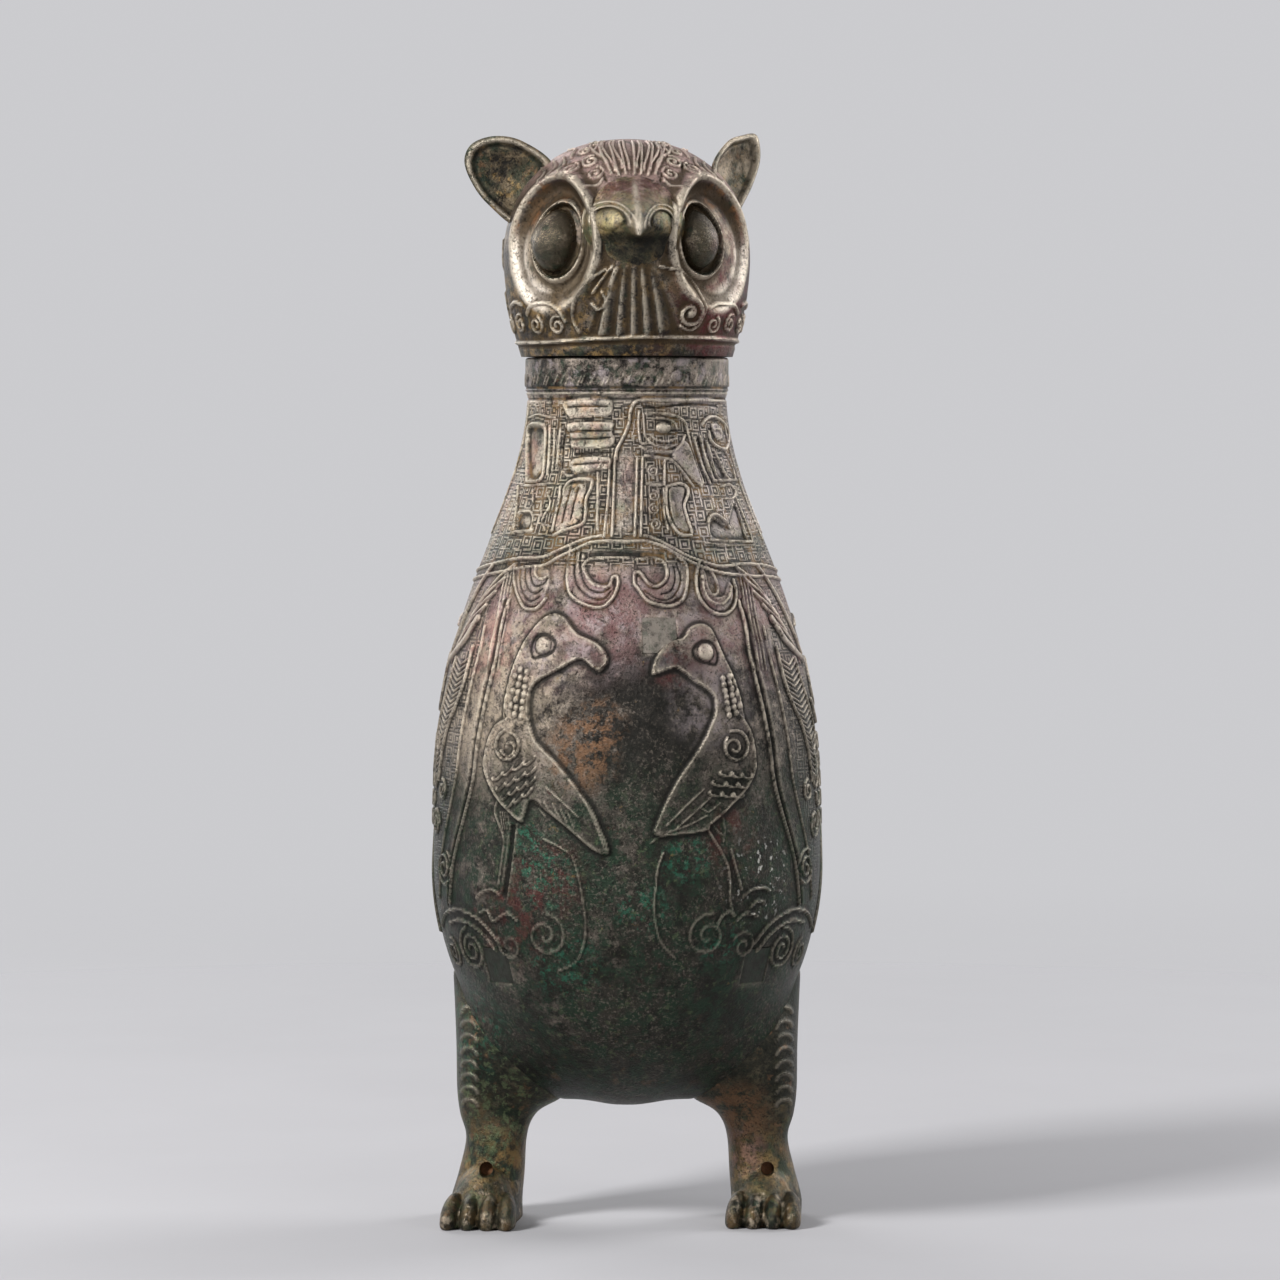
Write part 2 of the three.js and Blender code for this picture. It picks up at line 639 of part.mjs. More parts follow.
// Outer radius of the head without its face
function headRadius(z) {
  if (z < HEAD_WIDEST_Z) {
    const down = (HEAD_WIDEST_Z - z) / HEAD_WIDEST_ABOVE_RIM;
    return mix(HEAD_RADIUS, LID_RIM_RADIUS, down ** HEAD_TAPER);
  }
  const up = Math.min(1, (z - HEAD_WIDEST_Z) / (HEAD_TOP_Z - HEAD_WIDEST_Z));
  return HEAD_RADIUS * (1 - up ** DOME_SQUARENESS) ** (1 / DOME_SQUARENESS);
}

// How far the face stands out from the plain head at an azimuth from the front and a height
function faceRelief(azimuth, z) {
  const side = Math.abs(azimuth);
  const above = z - LID_RIM_Z - EYE_ABOVE_RIM;
  const fromSocket = (side - SOCKET_AZIMUTH) * HEAD_RADIUS;
  const fromEye = (side - EYE_AZIMUTH) * HEAD_RADIUS;
  const ring = Math.hypot(fromSocket / SOCKET_HALF_WIDTH, above / SOCKET_HALF_HEIGHT);
  const rim = BROW_RIDGE * Math.exp(-(((ring - 1) / BROW_RIDGE_SHARE) ** 2));
  const bowl = ring < 1 ? -SOCKET_DEPTH * smooth(1 - ring ** 2) : 0;
  const fromBall = Math.hypot(fromEye / EYEBALL_HALF_WIDTH, above / EYEBALL_HALF_HEIGHT);
  const ball = fromBall < 1 ? EYEBALL_BULGE * Math.sqrt(1 - fromBall ** 2) : 0;
  return rim + bowl + ball;
}

function headOutline(offset, belowSteps, aboveSteps) {
  const outline = [];
  for (let i = 0; i <= belowSteps; i += 1) {
    const z = mix(LID_RIM_Z, HEAD_WIDEST_Z, i / belowSteps);
    outline.push([headRadius(z) + offset, z]);
  }
  for (let i = 1; i <= aboveSteps; i += 1) {
    const angle = (Math.PI / 2) * (i / aboveSteps);
    const z = HEAD_WIDEST_Z + (HEAD_TOP_Z - HEAD_WIDEST_Z + offset) * Math.sin(angle) ** (2 / DOME_SQUARENESS);
    const radius = (HEAD_RADIUS + offset) * Math.cos(angle) ** (2 / DOME_SQUARENESS);
    outline.push([i === aboveSteps ? 0 : radius, z]);
  }
  return outline;
}

// The outer form of the head, grown by an offset, with sockets and eyeballs
function headOutside(offset) {
  const outline = headOutline(offset, CHEEK_ROWS, DOME_ROWS);
  const foot = [[0, LID_RIM_Z - offset], [LID_RIM_RADIUS + offset, LID_RIM_Z - offset]];
  const geometry = turned([...foot, ...outline], HEAD_STEPS);
  const position = geometry.getAttribute('position');
  for (let i = 0; i < position.count; i += 1) {
    const [x, y, z] = [position.getX(i), position.getY(i), position.getZ(i)];
    const radius = Math.hypot(x, y);
    const onFace = z > LID_RIM_Z + SLOPE_SPAN && radius > SLOPE_SPAN;
    if (onFace) {
      const grown = (radius + faceRelief(Math.atan2(x, -y), z)) / radius;
      position.setXYZ(i, x * grown, y * grown, z);
    }
  }
  return solidOf(geometry);
}

const TONGUE_RADIUS = MOUTH_RADIUS - TONGUE_CLEARANCE;
const LEDGE_TOP_Z = LID_RIM_Z + LID_RIM_THICKNESS;

// The space inside the lid: a bore for the tongue, then the hollow of the head above the ledge
function headInside(shrink) {
  const outline = headOutline(-HEAD_WALL - shrink, CHEEK_INSIDE_ROWS, DOME_INSIDE_ROWS)
    .filter(([, z]) => z > LEDGE_TOP_Z + 2);
  const ledgeRadius = TONGUE_RADIUS + TONGUE_FLANGE + 2 * GAP - shrink;
  return solidOf(turned([
    [0, LID_RIM_Z - WALL],
    [TONGUE_RADIUS + GAP - shrink, LID_RIM_Z - WALL],
    [TONGUE_RADIUS + GAP - shrink, LEDGE_TOP_Z + shrink],
    [ledgeRadius, LEDGE_TOP_Z + shrink],
    ...outline,
  ]));
}

const lidTongue = solidOf(turned([
  [TONGUE_RADIUS - TONGUE_WALL, MOUTH_Z - TONGUE_DEPTH],
  [TONGUE_RADIUS, MOUTH_Z - TONGUE_DEPTH],
  [TONGUE_RADIUS, LEDGE_TOP_Z + GAP],
  [TONGUE_RADIUS + TONGUE_FLANGE, LEDGE_TOP_Z + GAP],
  [TONGUE_RADIUS + TONGUE_FLANGE, LEDGE_TOP_Z + GAP + TONGUE_FLANGE_THICKNESS],
  [TONGUE_RADIUS - TONGUE_WALL, LEDGE_TOP_Z + GAP + TONGUE_FLANGE_THICKNESS],
  [TONGUE_RADIUS - TONGUE_WALL, MOUTH_Z - TONGUE_DEPTH],
]));

const headFree = headInside(GAP);
const headGrown = headOutside(GAP);

// A pin from outside the head to its hollow, at an azimuth from the front and a height
function headPin(azimuth, z, radius, outerReach) {
  const inner = headRadius(z) - HEAD_WALL - LID_LOCK_HEAD_RADIUS / 2;
  const pin = new THREE.CylinderGeometry(radius, radius, outerReach - inner, PIN_STEPS);
  pin.translate(0, -(inner + outerReach) / 2, 0);
  pin.rotateZ(azimuth);
  pin.translate(0, 0, z);
  return solidOf(pin);
}

function headLock(azimuth, z) {
  const radius = headRadius(z) - HEAD_WALL;
  const head = new THREE.SphereGeometry(LID_LOCK_HEAD_RADIUS, BALL_STEPS, BALL_ROWS);
  head.translate(radius * Math.sin(azimuth), -radius * Math.cos(azimuth), z);
  return solidOf(head).intersect(headFree);
}

const BEAK_Z = LID_RIM_Z + BEAK_ABOVE_RIM;

// The beak: broad at the cheeks, narrowing to a tip that hooks down
function beakForm() {
  const geometry = new THREE.SphereGeometry(1, BEAK_STEPS, BEAK_ROWS);
  const position = geometry.getAttribute('position');
  for (let i = 0; i < position.count; i += 1) {
    const [x, y, z] = [position.getX(i), position.getY(i), position.getZ(i)];
    const forward = Math.max(0, -y);
    const narrow = 1 - BEAK_NARROWING * forward ** BEAK_TAPER;
    const pinch = 1 - BEAK_CREST_PINCH * Math.max(0, z);
    position.setXYZ(i,
      (x * narrow * pinch * BEAK_WIDTH) / 2,
      BEAK_SUNK - headRadius(BEAK_Z) + y * BEAK_REACH,
      BEAK_Z + (z * narrow * BEAK_HEIGHT) / 2 - BEAK_HOOK * forward ** BEAK_HOOK_SLOPE);
  }
  return solidOf(geometry);
}

const BEAK_PIN_REACH = headRadius(BEAK_Z) + BEAK_REACH / 2;
const beak = beakForm()
  .subtract(headGrown)
  .add(headPin(0, BEAK_Z, LOCK_PIN_RADIUS, BEAK_PIN_REACH))
  .add(headLock(0, BEAK_Z));

const EAR_Z = HEAD_TOP_Z - EAR_ROOT_BELOW_CROWN;
const EAR_HINGE_RADIUS = headRadius(EAR_Z) - EAR_HINGE_INSIDE;

// The azimuth at which the middle of the blade goes through the side of the head
function earRootAzimuth({ side, sweep }) {
  const back = EAR_HINGE_INSIDE * Math.tan(sweep) + EAR_ROOT_CUP * Math.cos(sweep) - EAR_FORWARD;
  return side * (Math.PI / 2 + Math.asin(back / headRadius(EAR_Z)));
}

const earPin = (ear, radius, reach) => headPin(earRootAzimuth(ear), EAR_Z, radius, headRadius(EAR_Z) + reach);

// An ear: a thin cupped blade inside its outline, swept back about an upright line in the side of the head
function earForm({ side, sweep, outline }) {
  const points = outline.map(([out, up]) => (
    new THREE.Vector2(EAR_HINGE_INSIDE + EAR_OUTWARD + out * EAR_REACH, EAR_Z + up * EAR_RISE)));
  const curve = new THREE.CatmullRomCurve3(
    points.map(({ x, y }) => new THREE.Vector3(x, 0, y)), true, 'centripetal');
  const middle = points.reduce((sum, point) => sum.add(point), new THREE.Vector2()).divideScalar(points.length);
  const geometry = new THREE.SphereGeometry(1, EAR_STEPS, EAR_ROWS);
  const position = geometry.getAttribute('position');
  for (let i = 0; i < position.count; i += 1) {
    const [x, y, z] = [position.getX(i), position.getY(i), position.getZ(i)];
    const reach = Math.hypot(x, z);
    const turn = (Math.atan2(z, side * x) / (2 * Math.PI) + 1) % 1;
    const edge = curve.getPoint(1 - turn);
    const along = mix(middle.x, edge.x, reach);
    const through = (y * EAR_THICKNESS) / 2 + EAR_CUP * (0.5 - reach ** 2);
    position.setXYZ(i,
      side * (EAR_HINGE_RADIUS + along * Math.cos(sweep) - through * Math.sin(sweep)),
      -EAR_FORWARD + along * Math.sin(sweep) + through * Math.cos(sweep),
      mix(middle.y, edge.z, reach));
  }
  return solidOf(geometry);
}

const earOf = (ear) => earForm(ear)
  .subtract(headGrown)
  .add(earPin(ear, EAR_PIN_RADIUS, EAR_PIN_REACH))
  .add(headLock(earRootAzimuth(ear), EAR_Z));

function lidChapletBars(side) {
  const z = LID_RIM_Z + LID_CHAPLET_ABOVE_RIM;
  const radius = headRadius(z);
  const bars = [];
  for (let i = 0; i < LID_CHAPLETS; i += 1) {
    const azimuth = Math.PI / 2 + (i - (LID_CHAPLETS - 1) / 2) * LID_CHAPLET_PITCH;
    bars.push(radialBar(side, azimuth, z, radius - 4 * HEAD_WALL, radius + 2 * HEAD_WALL));
  }
  return bars;
}

function headRelief() {
  const onHead = (azimuth, z) => headRadius(z) + faceRelief(azimuth, z);
  const fromRim = (points) => points.map(([azimuth, above]) => [azimuth, LID_RIM_Z + above]);
  const pleats = PLEATS.map((azimuth) => (
    [[azimuth * PLEAT_SPREAD, PLEAT_TOP_ABOVE_RIM], [azimuth, PLEAT_BOTTOM_ABOVE_RIM]]));
  const nape = chevrons(180, NAPE);
  const lines = [...pleats, ...CHEEKS, ...CROWN, ...nape];
  return joined(lines.map((points) => raisedLine(fromRim(points), onHead, CURL_STEP)));
}

const headShell = headOutside(0).add(headRelief()).subtract(headInside(0));
const lidChaplets = lidChapletBars(LID_CHAPLET_SIDE).map((bar) => headShell.intersect(bar));
const lidHead = headShell
  .subtract(joined(lidChapletBars(LID_CHAPLET_SIDE + 2 * GAP)))
  .subtract(headPin(0, BEAK_Z, LOCK_PIN_RADIUS + GAP, BEAK_PIN_REACH))
  .subtract(joined(EARS.map((ear) => earPin(ear, EAR_PIN_RADIUS + GAP, 2 * EAR_PIN_REACH))));

const vessel = new THREE.Group();
vessel.add(meshOf('vessel_body', vesselBody, bronze));
vesselChaplets.forEach((solid, i) => vessel.add(meshOf(`vessel_chaplet_${i + 1}`, solid, redBronze)));
FEET.forEach((foot) => {
  vessel.add(meshOf(`${foot.word}_leg`, leg(foot), darkBronze));
  vessel.add(meshOf(`${foot.word}_leg_core`, legCavity(foot, LEG_WALL + GAP, CORE_TOP_Z - GAP), firedClay));
});

const lid = new THREE.Group();
lid.rotation.z = LID_TURN;
lid.add(meshOf('lid_head', lidHead, bronze));
lid.add(meshOf('lid_tongue', lidTongue, darkBronze));
lidChaplets.forEach((solid, i) => lid.add(meshOf(`lid_chaplet_${i + 1}`, solid, redBronze)));
lid.add(meshOf('beak', beak, darkBronze));
EARS.forEach((ear) => lid.add(meshOf(`${ear.word}_ear`, earOf(ear), darkBronze)));

const owl = new THREE.Group();
owl.add(vessel);
owl.add(lid);

export default owl;
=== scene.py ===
import math

import bpy
import numpy as np
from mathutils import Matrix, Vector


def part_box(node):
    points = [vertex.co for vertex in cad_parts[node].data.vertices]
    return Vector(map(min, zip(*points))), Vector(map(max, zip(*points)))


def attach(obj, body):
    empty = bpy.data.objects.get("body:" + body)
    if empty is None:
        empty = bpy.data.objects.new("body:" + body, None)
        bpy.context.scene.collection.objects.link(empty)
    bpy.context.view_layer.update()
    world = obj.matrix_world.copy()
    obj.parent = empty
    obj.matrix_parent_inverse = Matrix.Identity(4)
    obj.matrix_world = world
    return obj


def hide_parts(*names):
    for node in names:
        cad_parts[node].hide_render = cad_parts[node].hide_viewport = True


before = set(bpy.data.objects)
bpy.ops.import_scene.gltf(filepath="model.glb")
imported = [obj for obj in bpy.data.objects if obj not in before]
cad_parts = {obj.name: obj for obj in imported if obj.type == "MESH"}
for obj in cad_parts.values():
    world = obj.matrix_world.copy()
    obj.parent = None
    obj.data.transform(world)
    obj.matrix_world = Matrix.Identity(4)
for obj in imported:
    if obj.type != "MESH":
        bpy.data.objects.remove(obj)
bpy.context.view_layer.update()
bpy.ops.object.select_all(action="DESELECT")

# The vessel's wall: belly, breast, neck and collar are one casting of leaded bronze, 4 mm thick.
# It was poured in clay piece moulds, which carried the ornament, so the relief is part of the wall.
# Sizes here are in millimetres. Azimuths are in degrees from the front, and grow towards the owl's left.
MM = 0.001
BELLY_RADIUS = 63.4
BELLY_WIDEST_Z = 118.0
BELLY_BOTTOM_Z = 38.0
BELLY_DEPTH = BELLY_WIDEST_Z - BELLY_BOTTOM_Z
NECK_RADIUS = 32.6
NECK_TOP_Z = 272.0
SHOULDER_SLOPE = 1.53
COLLAR_STEP = 0.7
WALL = 4.0
MOUTH_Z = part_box("vessel_body")[1][2] / MM
MOUTH_RADIUS = NECK_RADIUS - WALL
LIP_ROUNDING = 0.8
COLUMNS = 840
BASE_ROW = 0.8
FINE_ROW = 0.44
INNER_ROW = 12.0
BAND_TOPS = (62.0, 112.0, 156.0, 198.0, 240.0)
FINE_ROWS_FROM_Z = 112.0
VALLEY_SHARE = 0.55
FULL_RIDGE = 0.35
FULL_HOLLOW = 0.25
SAME_PLACE = 1e-6
SMOOTH_BELOW_ANGLE = 72


def vessel_radius(z, inset=0.0):
    """Outer radius at a height, or the radius inside the wall."""
    z = np.asarray(z, float)
    down = (BELLY_WIDEST_Z - z) / (BELLY_DEPTH - inset)
    bowl = (BELLY_RADIUS - inset) * np.sqrt(np.clip(1 - down**2, 0, 1))
    up = np.clip((z - BELLY_WIDEST_Z) / (NECK_TOP_Z - BELLY_WIDEST_Z), 0, 1)
    slope = NECK_RADIUS + (BELLY_RADIUS - NECK_RADIUS) * (1 + np.cos(np.pi * up**SHOULDER_SLOPE)) / 2
    return np.where(z <= BELLY_WIDEST_Z, bowl, slope - inset)


def spaced(outline, step):
    """The outline with even steps along it."""
    points = np.array(outline, float)
    arc = np.concatenate([[0], np.cumsum(np.hypot(*np.diff(points, axis=0).T))])
    stations = np.linspace(0, arc[-1], max(2, round(arc[-1] / step) + 1))
    return np.column_stack([np.interp(stations, arc, points[:, i]) for i in (0, 1)])


class Relief:
    """Cast ornament on a turned wall: heights in millimetres over rows up it and columns round it."""

    def __init__(self, outline, columns):
        self.outline = np.array(outline)
        self.radius, self.z = self.outline.T
        self.arc = np.concatenate([[0], np.cumsum(np.hypot(np.diff(self.radius), np.diff(self.z)))])
        self.columns = columns
        self.ground = np.zeros((len(self.z), columns))
        self.lines = np.zeros_like(self.ground)
        self.grooves = np.zeros_like(self.ground)
        self.pushed = np.zeros_like(self.ground)
        self.zones = {}

    def on_wall(self, points):
        """Points of azimuth and height as points of azimuth and distance along the outline."""
        return [(azimuth, float(np.interp(z, self.z, self.arc))) for azimuth, z in points]

    def beside(self, azimuth, z, right, up):
        """The point that lies some millimetres to the right of a place and above it."""
        arc = float(np.interp(z, self.z, self.arc)) + up
        radius = max(1.0, float(np.interp(arc, self.arc, self.radius)))
        return azimuth + math.degrees(right / radius), float(np.interp(arc, self.arc, self.z))

    def block(self, path, reach):
        """The rows and columns within reach of a path, with their places."""
        path = np.array(path)
        low, high = path.min(axis=0), path.max(axis=0)
        bottom, top = np.searchsorted(self.arc, (low[1] - reach, high[1] + reach))
        rows = np.arange(bottom, top)
        narrow = max(2.0, np.interp(path[:, 1], self.arc, self.radius).min())
        turn = math.degrees(reach / narrow)
        pitch = 360 / self.columns
        first = math.floor((low[0] - turn) / pitch)
        last = min(math.ceil((high[0] + turn) / pitch), first + self.columns - 1)
        steps = np.arange(first, last + 1)
        return rows, steps % self.columns, steps * pitch

    def distances(self, path, reach):
        """The same block, with how far each of its cells lies from the path."""
        rows, columns, azimuths = self.block(path, reach)
        near = np.full((len(rows), len(columns)), np.inf)
        for a, b in zip(path, path[1:]):
            radius = max(1.0, float(np.interp((a[1] + b[1]) / 2, self.arc, self.radius)))
            scale = math.radians(1) * radius
            sides = sorted((a[0], b[0]))
            left = np.searchsorted(azimuths, sides[0] - reach / scale)
            right = np.searchsorted(azimuths, sides[1] + reach / scale)
            ends = sorted((a[1], b[1]))
            low = np.searchsorted(self.arc[rows], ends[0] - reach)
            high = np.searchsorted(self.arc[rows], ends[1] + reach)
            across = ((azimuths[left:right] - a[0]) * scale)[None, :]
            along = (self.arc[rows[low:high]] - a[1])[:, None]
            run, rise = (b[0] - a[0]) * scale, b[1] - a[1]
            length = run * run + rise * rise
            share = np.clip((across * run + along * rise) / length, 0, 1) if length else 0
            found = np.hypot(across - share * run, along - share * rise)
            window = near[low:high, left:right]
            np.minimum(window, found, out=window)
        return rows, columns, azimuths, near

    def put(self, layer, rows, columns, heights):
        """Raises a block of a layer to at least these heights."""
        cells = np.ix_(rows, columns)
        layer[cells] = np.maximum(layer[cells], heights)

    def stroke(self, points, width=1.2, height=0.7, edge=0.6, curved=True, groove=False):
        """A raised line, or a groove, through points of azimuth and height."""
        path = self.on_wall(flowing(points) if curved else points)
        reach = (width + edge) / 2
        rows, columns, _, near = self.distances(path, reach)
        self.put(self.grooves if groove else self.lines, rows, columns, height * ramp((reach - near) / edge))

    def fill(self, points, height, edge=0.7, curved=True):
        """A raised or sunken field inside an outline."""
        closed = [*points, points[0]]
        path = np.array(self.on_wall(flowing(closed) if curved else closed))
        rows, columns, azimuths, near = self.distances(path, edge)
        inside = np.zeros(near.shape, bool)
        up = self.arc[rows][:, None]
        for (x0, y0), (x1, y1) in zip(path, path[1:]):
            if y0 != y1:
                crossing = x0 + (up - y0) * (x1 - x0) / (y1 - y0)
                inside ^= ((y0 > up) != (y1 > up)) & (azimuths[None, :] < crossing)
        depth = np.where(inside, near, -near)
        cells = np.ix_(rows, columns)
        self.ground[cells] += height * ramp(0.5 + np.clip(depth, -edge, edge) / edge)

    def boss(self, azimuth, z, half_width, half_height, height):
        """A rounded boss, such as an eye or a scale."""
        reach = max(half_width, half_height)
        arc = float(np.interp(z, self.z, self.arc))
        rows, columns, azimuths = self.block([(azimuth, arc)], reach)
        radius = float(np.interp(arc, self.arc, self.radius))
        across = np.radians(azimuths - azimuth)[None, :] * radius / half_width
        along = (self.arc[rows] - arc)[:, None] / half_height
        self.put(self.lines, rows, columns, height * np.sqrt(np.clip(1 - across**2 - along**2, 0, 1)))

    def spiral(self, azimuth, z, outer, inner, turns, start=0, hand=1, **line):
        """A line that winds inwards; start is its first direction, in degrees from the right."""
        count = max(8, round(abs(turns) * 14))
        points = []
        for i in range(count + 1):
            reach = outer + (inner - outer) * i / count
            angle = math.radians(start + hand * 360 * turns * i / count)
            points.append(self.beside(azimuth, z, reach * math.cos(angle), reach * math.sin(angle)))
        self.stroke(points, curved=False, **line)

    def ring(self, z, width, height, edge=0.6, groove=False):
        """A line all the way round."""
        arc = float(np.interp(z, self.z, self.arc))
        shape = height * ramp(((width + edge) / 2 - np.abs(self.arc - arc)) / edge)[:, None]
        layer = self.grooves if groove else self.lines
        np.maximum(layer, shape, out=layer)

    def heights(self):
        """All the ornament, with the narrow valley that the mould's tool left beside each line."""
        valley = np.clip(blurred(self.lines, 1) - self.lines, 0, 1)
        return self.ground + self.lines - self.grooves - VALLEY_SHARE * valley


def ramp(share):
    """A smooth step: 0 up to 0, and 1 from 1 on."""
    share = np.clip(share, 0, 1)
    return share * share * (3 - 2 * share)


def flowing(points, per_stretch=6):
    """A smooth curve through the points, as points."""
    given = np.array(points, float)
    if len(given) < 3:
        return [tuple(p) for p in given]
    closed = bool(np.allclose(given[0], given[-1]))
    before = given[-2] if closed else 2 * given[0] - given[1]
    after = given[1] if closed else 2 * given[-1] - given[-2]
    ends = np.vstack([before, given, after])
    found = []
    for a, b, c, d in zip(ends, ends[1:], ends[2:], ends[3:]):
        for t in np.arange(per_stretch) / per_stretch:
            found.append((2 * b + (c - a) * t + (2 * a - 5 * b + 4 * c - d) * t**2
                          + (3 * b - a - 3 * c + d) * t**3) / 2)
    return [tuple(p) for p in found] + [tuple(given[-1])]


def blurred(heights, radius, passes=2):
    """Heights averaged over a square of cells round each one."""
    size = 2 * radius + 1
    for _ in range(passes):
        for axis in (0, 1):
            pad = [(0, 0), (0, 0)]
            pad[axis] = (radius + 1, radius)
            wide = np.cumsum(np.pad(heights, pad, mode="wrap" if axis else "edge"), axis=axis)
            first, last = [slice(None)] * 2, [slice(None)] * 2
            first[axis] = slice(0, -size)
            last[axis] = slice(size, None)
            heights = (wide[tuple(last)] - wide[tuple(first)]) / size
    return heights


def uneven(shape, cell, seed):
    """Soft random unevenness from -1 to 1, the same each run."""
    random = np.random.default_rng(seed)
    noise = random.uniform(-1, 1, shape)
    noise = blurred(noise, cell, 3)
    return noise / np.abs(noise).max()


def active(obj):
    """Makes an object the only one that is selected."""
    bpy.ops.object.select_all(action="DESELECT")
    bpy.context.view_layer.objects.active = obj
    obj.select_set(True)


def new_object(name, points, edges, faces):
    mesh = bpy.data.meshes.new(name)
    mesh.from_pydata(points, edges, faces)
    obj = bpy.data.objects.new(name, mesh)
    bpy.context.scene.collection.objects.link(obj)
    return obj


def modify(obj, kind, **settings):
    """Adds a modifier to an object and applies it."""
    active(obj)
    bpy.ops.object.modifier_add(type=kind)
    modifier = obj.modifiers[-1]
    for setting, value in settings.items():
        setattr(modifier, setting, value)
    bpy.ops.object.modifier_apply(modifier=modifier.name)


def closed_up(obj):
    """Merges doubles and points every face outwards."""
    active(obj)
    bpy.ops.object.mode_set(mode="EDIT")
    bpy.ops.mesh.select_all(action="SELECT")
    bpy.ops.mesh.remove_doubles(threshold=SAME_PLACE)
    bpy.ops.mesh.normals_make_consistent(inside=False)
    bpy.ops.object.mode_set(mode="OBJECT")


def points_of(obj):
    points = np.empty(3 * len(obj.data.vertices), np.float32)
    obj.data.vertices.foreach_get("co", points)
    return points.reshape(-1, 3).astype(float)


def move_points(obj, points):
    obj.data.vertices.foreach_set("co", points.astype(np.float32).ravel())
    obj.data.update()


def mark(obj, name, values):
    """Keeps one number for each point of the mesh, for the finish to read."""
    found = obj.data.attributes.get(name) or obj.data.attributes.new(name, "FLOAT", "POINT")
    found.data.foreach_set("value", np.asarray(values, np.float32))


def turned_wall(name, relief, first, last, inside, centre=0.0):
    """Rows of the relief turned about the upright axis, closed by the plain surface inside them."""
    outside = relief.outline[first:last + 1]
    profile = [*outside, *inside]
    at_pole = [i for i, (radius, _) in enumerate(profile) if radius < SAME_PLACE]
    edges = [(i, (i + 1) % len(profile)) for i in range(len(profile))]
    edges = [(a, b) for a, b in edges if not (a in at_pole and b in at_pole)]
    obj = new_object(name, [(0, -radius * MM, z * MM) for radius, z in profile], edges, [])
    rows = np.full(len(profile), -1.0)
    rows[:len(outside)] = np.arange(first, last + 1)
    mark(obj, "row", rows)
    modify(obj, "SCREW", steps=relief.columns, render_steps=relief.columns, use_merge_vertices=True,
           merge_threshold=SAME_PLACE)
    closed_up(obj)

    rows = np.empty(len(obj.data.vertices), np.float32)
    obj.data.attributes["row"].data.foreach_get("value", rows)
    rows = np.round(rows).astype(int)
    points = points_of(obj) / MM
    azimuth = np.degrees(np.arctan2(points[:, 0], -points[:, 1]))
    column = np.round(azimuth * relief.columns / 360).astype(int) % relief.columns
    heights = relief.heights()
    height = np.where(rows >= 0, heights[rows, column], 0)
    slope = np.gradient(relief.outline, axis=0)
    slope /= np.hypot(*slope.T)[:, None]
    out, up = slope[rows, 1], -slope[rows, 0]
    radius = np.hypot(points[:, 0], points[:, 1])
    radius = radius + np.where((rows >= 0) & (radius > 0.01), height * out + relief.pushed[rows, column], 0)
    turn = np.radians(azimuth + centre)
    moved = np.column_stack([radius * np.sin(turn), -radius * np.cos(turn),
                             points[:, 2] + np.where(rows >= 0, height * up, 0)])
    move_points(obj, moved * MM)
    shape = heights + relief.pushed
    around = blurred(shape, 3)
    mark(obj, "ridge", np.where(rows >= 0, np.clip((shape - around)[rows, column] / FULL_RIDGE, 0, 1), 0))
    mark(obj, "hollow", np.where(rows >= 0, np.clip((around - shape)[rows, column] / FULL_HOLLOW, 0, 1), 0))
    for zone, share in relief.zones.items():
        mark(obj, zone, np.where(rows >= 0, share[rows, column], 0))
    obj.data.attributes.remove(obj.data.attributes["row"])
    active(obj)
    bpy.ops.object.shade_smooth_by_angle(angle=math.radians(SMOOTH_BELOW_ANGLE))
    ends = np.empty(2 * len(obj.data.edges), np.int32)
    obj.data.edges.foreach_get("vertices", ends)
    first_end, second_end = rows[ends.reshape(-1, 2)].T
    creases = obj.data.attributes["sharp_edge"].data
    sharp = np.empty(len(creases), bool)
    creases.foreach_get("value", sharp)
    creases.foreach_set("value", sharp | (first_end == second_end) & np.isin(first_end, (first, last)))
    return obj


below = [(float(vessel_radius(z)), z) for z in
         BELLY_WIDEST_Z - BELLY_DEPTH * np.cos(np.linspace(0, np.pi / 2, 200))]
above = [(float(vessel_radius(z)), z) for z in np.linspace(BELLY_WIDEST_Z, NECK_TOP_Z, 400)[1:]]
split = next(i for i, (_, z) in enumerate(below) if z > FINE_ROWS_FROM_Z)
lip = NECK_RADIUS + COLLAR_STEP
collar = [(NECK_RADIUS, NECK_TOP_Z), (lip, NECK_TOP_Z + COLLAR_STEP), (lip, MOUTH_Z - LIP_ROUNDING),
          (lip - LIP_ROUNDING / 3, MOUTH_Z - LIP_ROUNDING / 3), (lip - LIP_ROUNDING, MOUTH_Z)]
base_rows = spaced(below[:split + 1], BASE_ROW)
fine_rows = spaced([*below[split:], *above, *collar], FINE_ROW)
base_rows[0] = (0, BELLY_BOTTOM_Z)
wall = Relief(np.vstack([base_rows, fine_rows[1:]]), COLUMNS)

# The frieze on the neck. A plain bar stands at the front, with half an animal mask on each side of it.
# The mask on the owl's left is a big eye in a frame; on the right it is plates, a slot and a crescent.
# It was cut twice in the clay mould, for the front and the back.
FRIEZE_FOOT_Z = 214.0
FRIEZE_TOP_Z = 270.0
FRONT_AND_BACK = (0, 180)
BOLD = dict(width=0.95, height=0.62, edge=0.4)
PLAIN = dict(width=0.7, height=0.5, edge=0.4)
THIN = dict(width=0.5, height=0.42, edge=0.4)
CUT = dict(width=0.55, height=0.5, edge=0.4, groove=True)

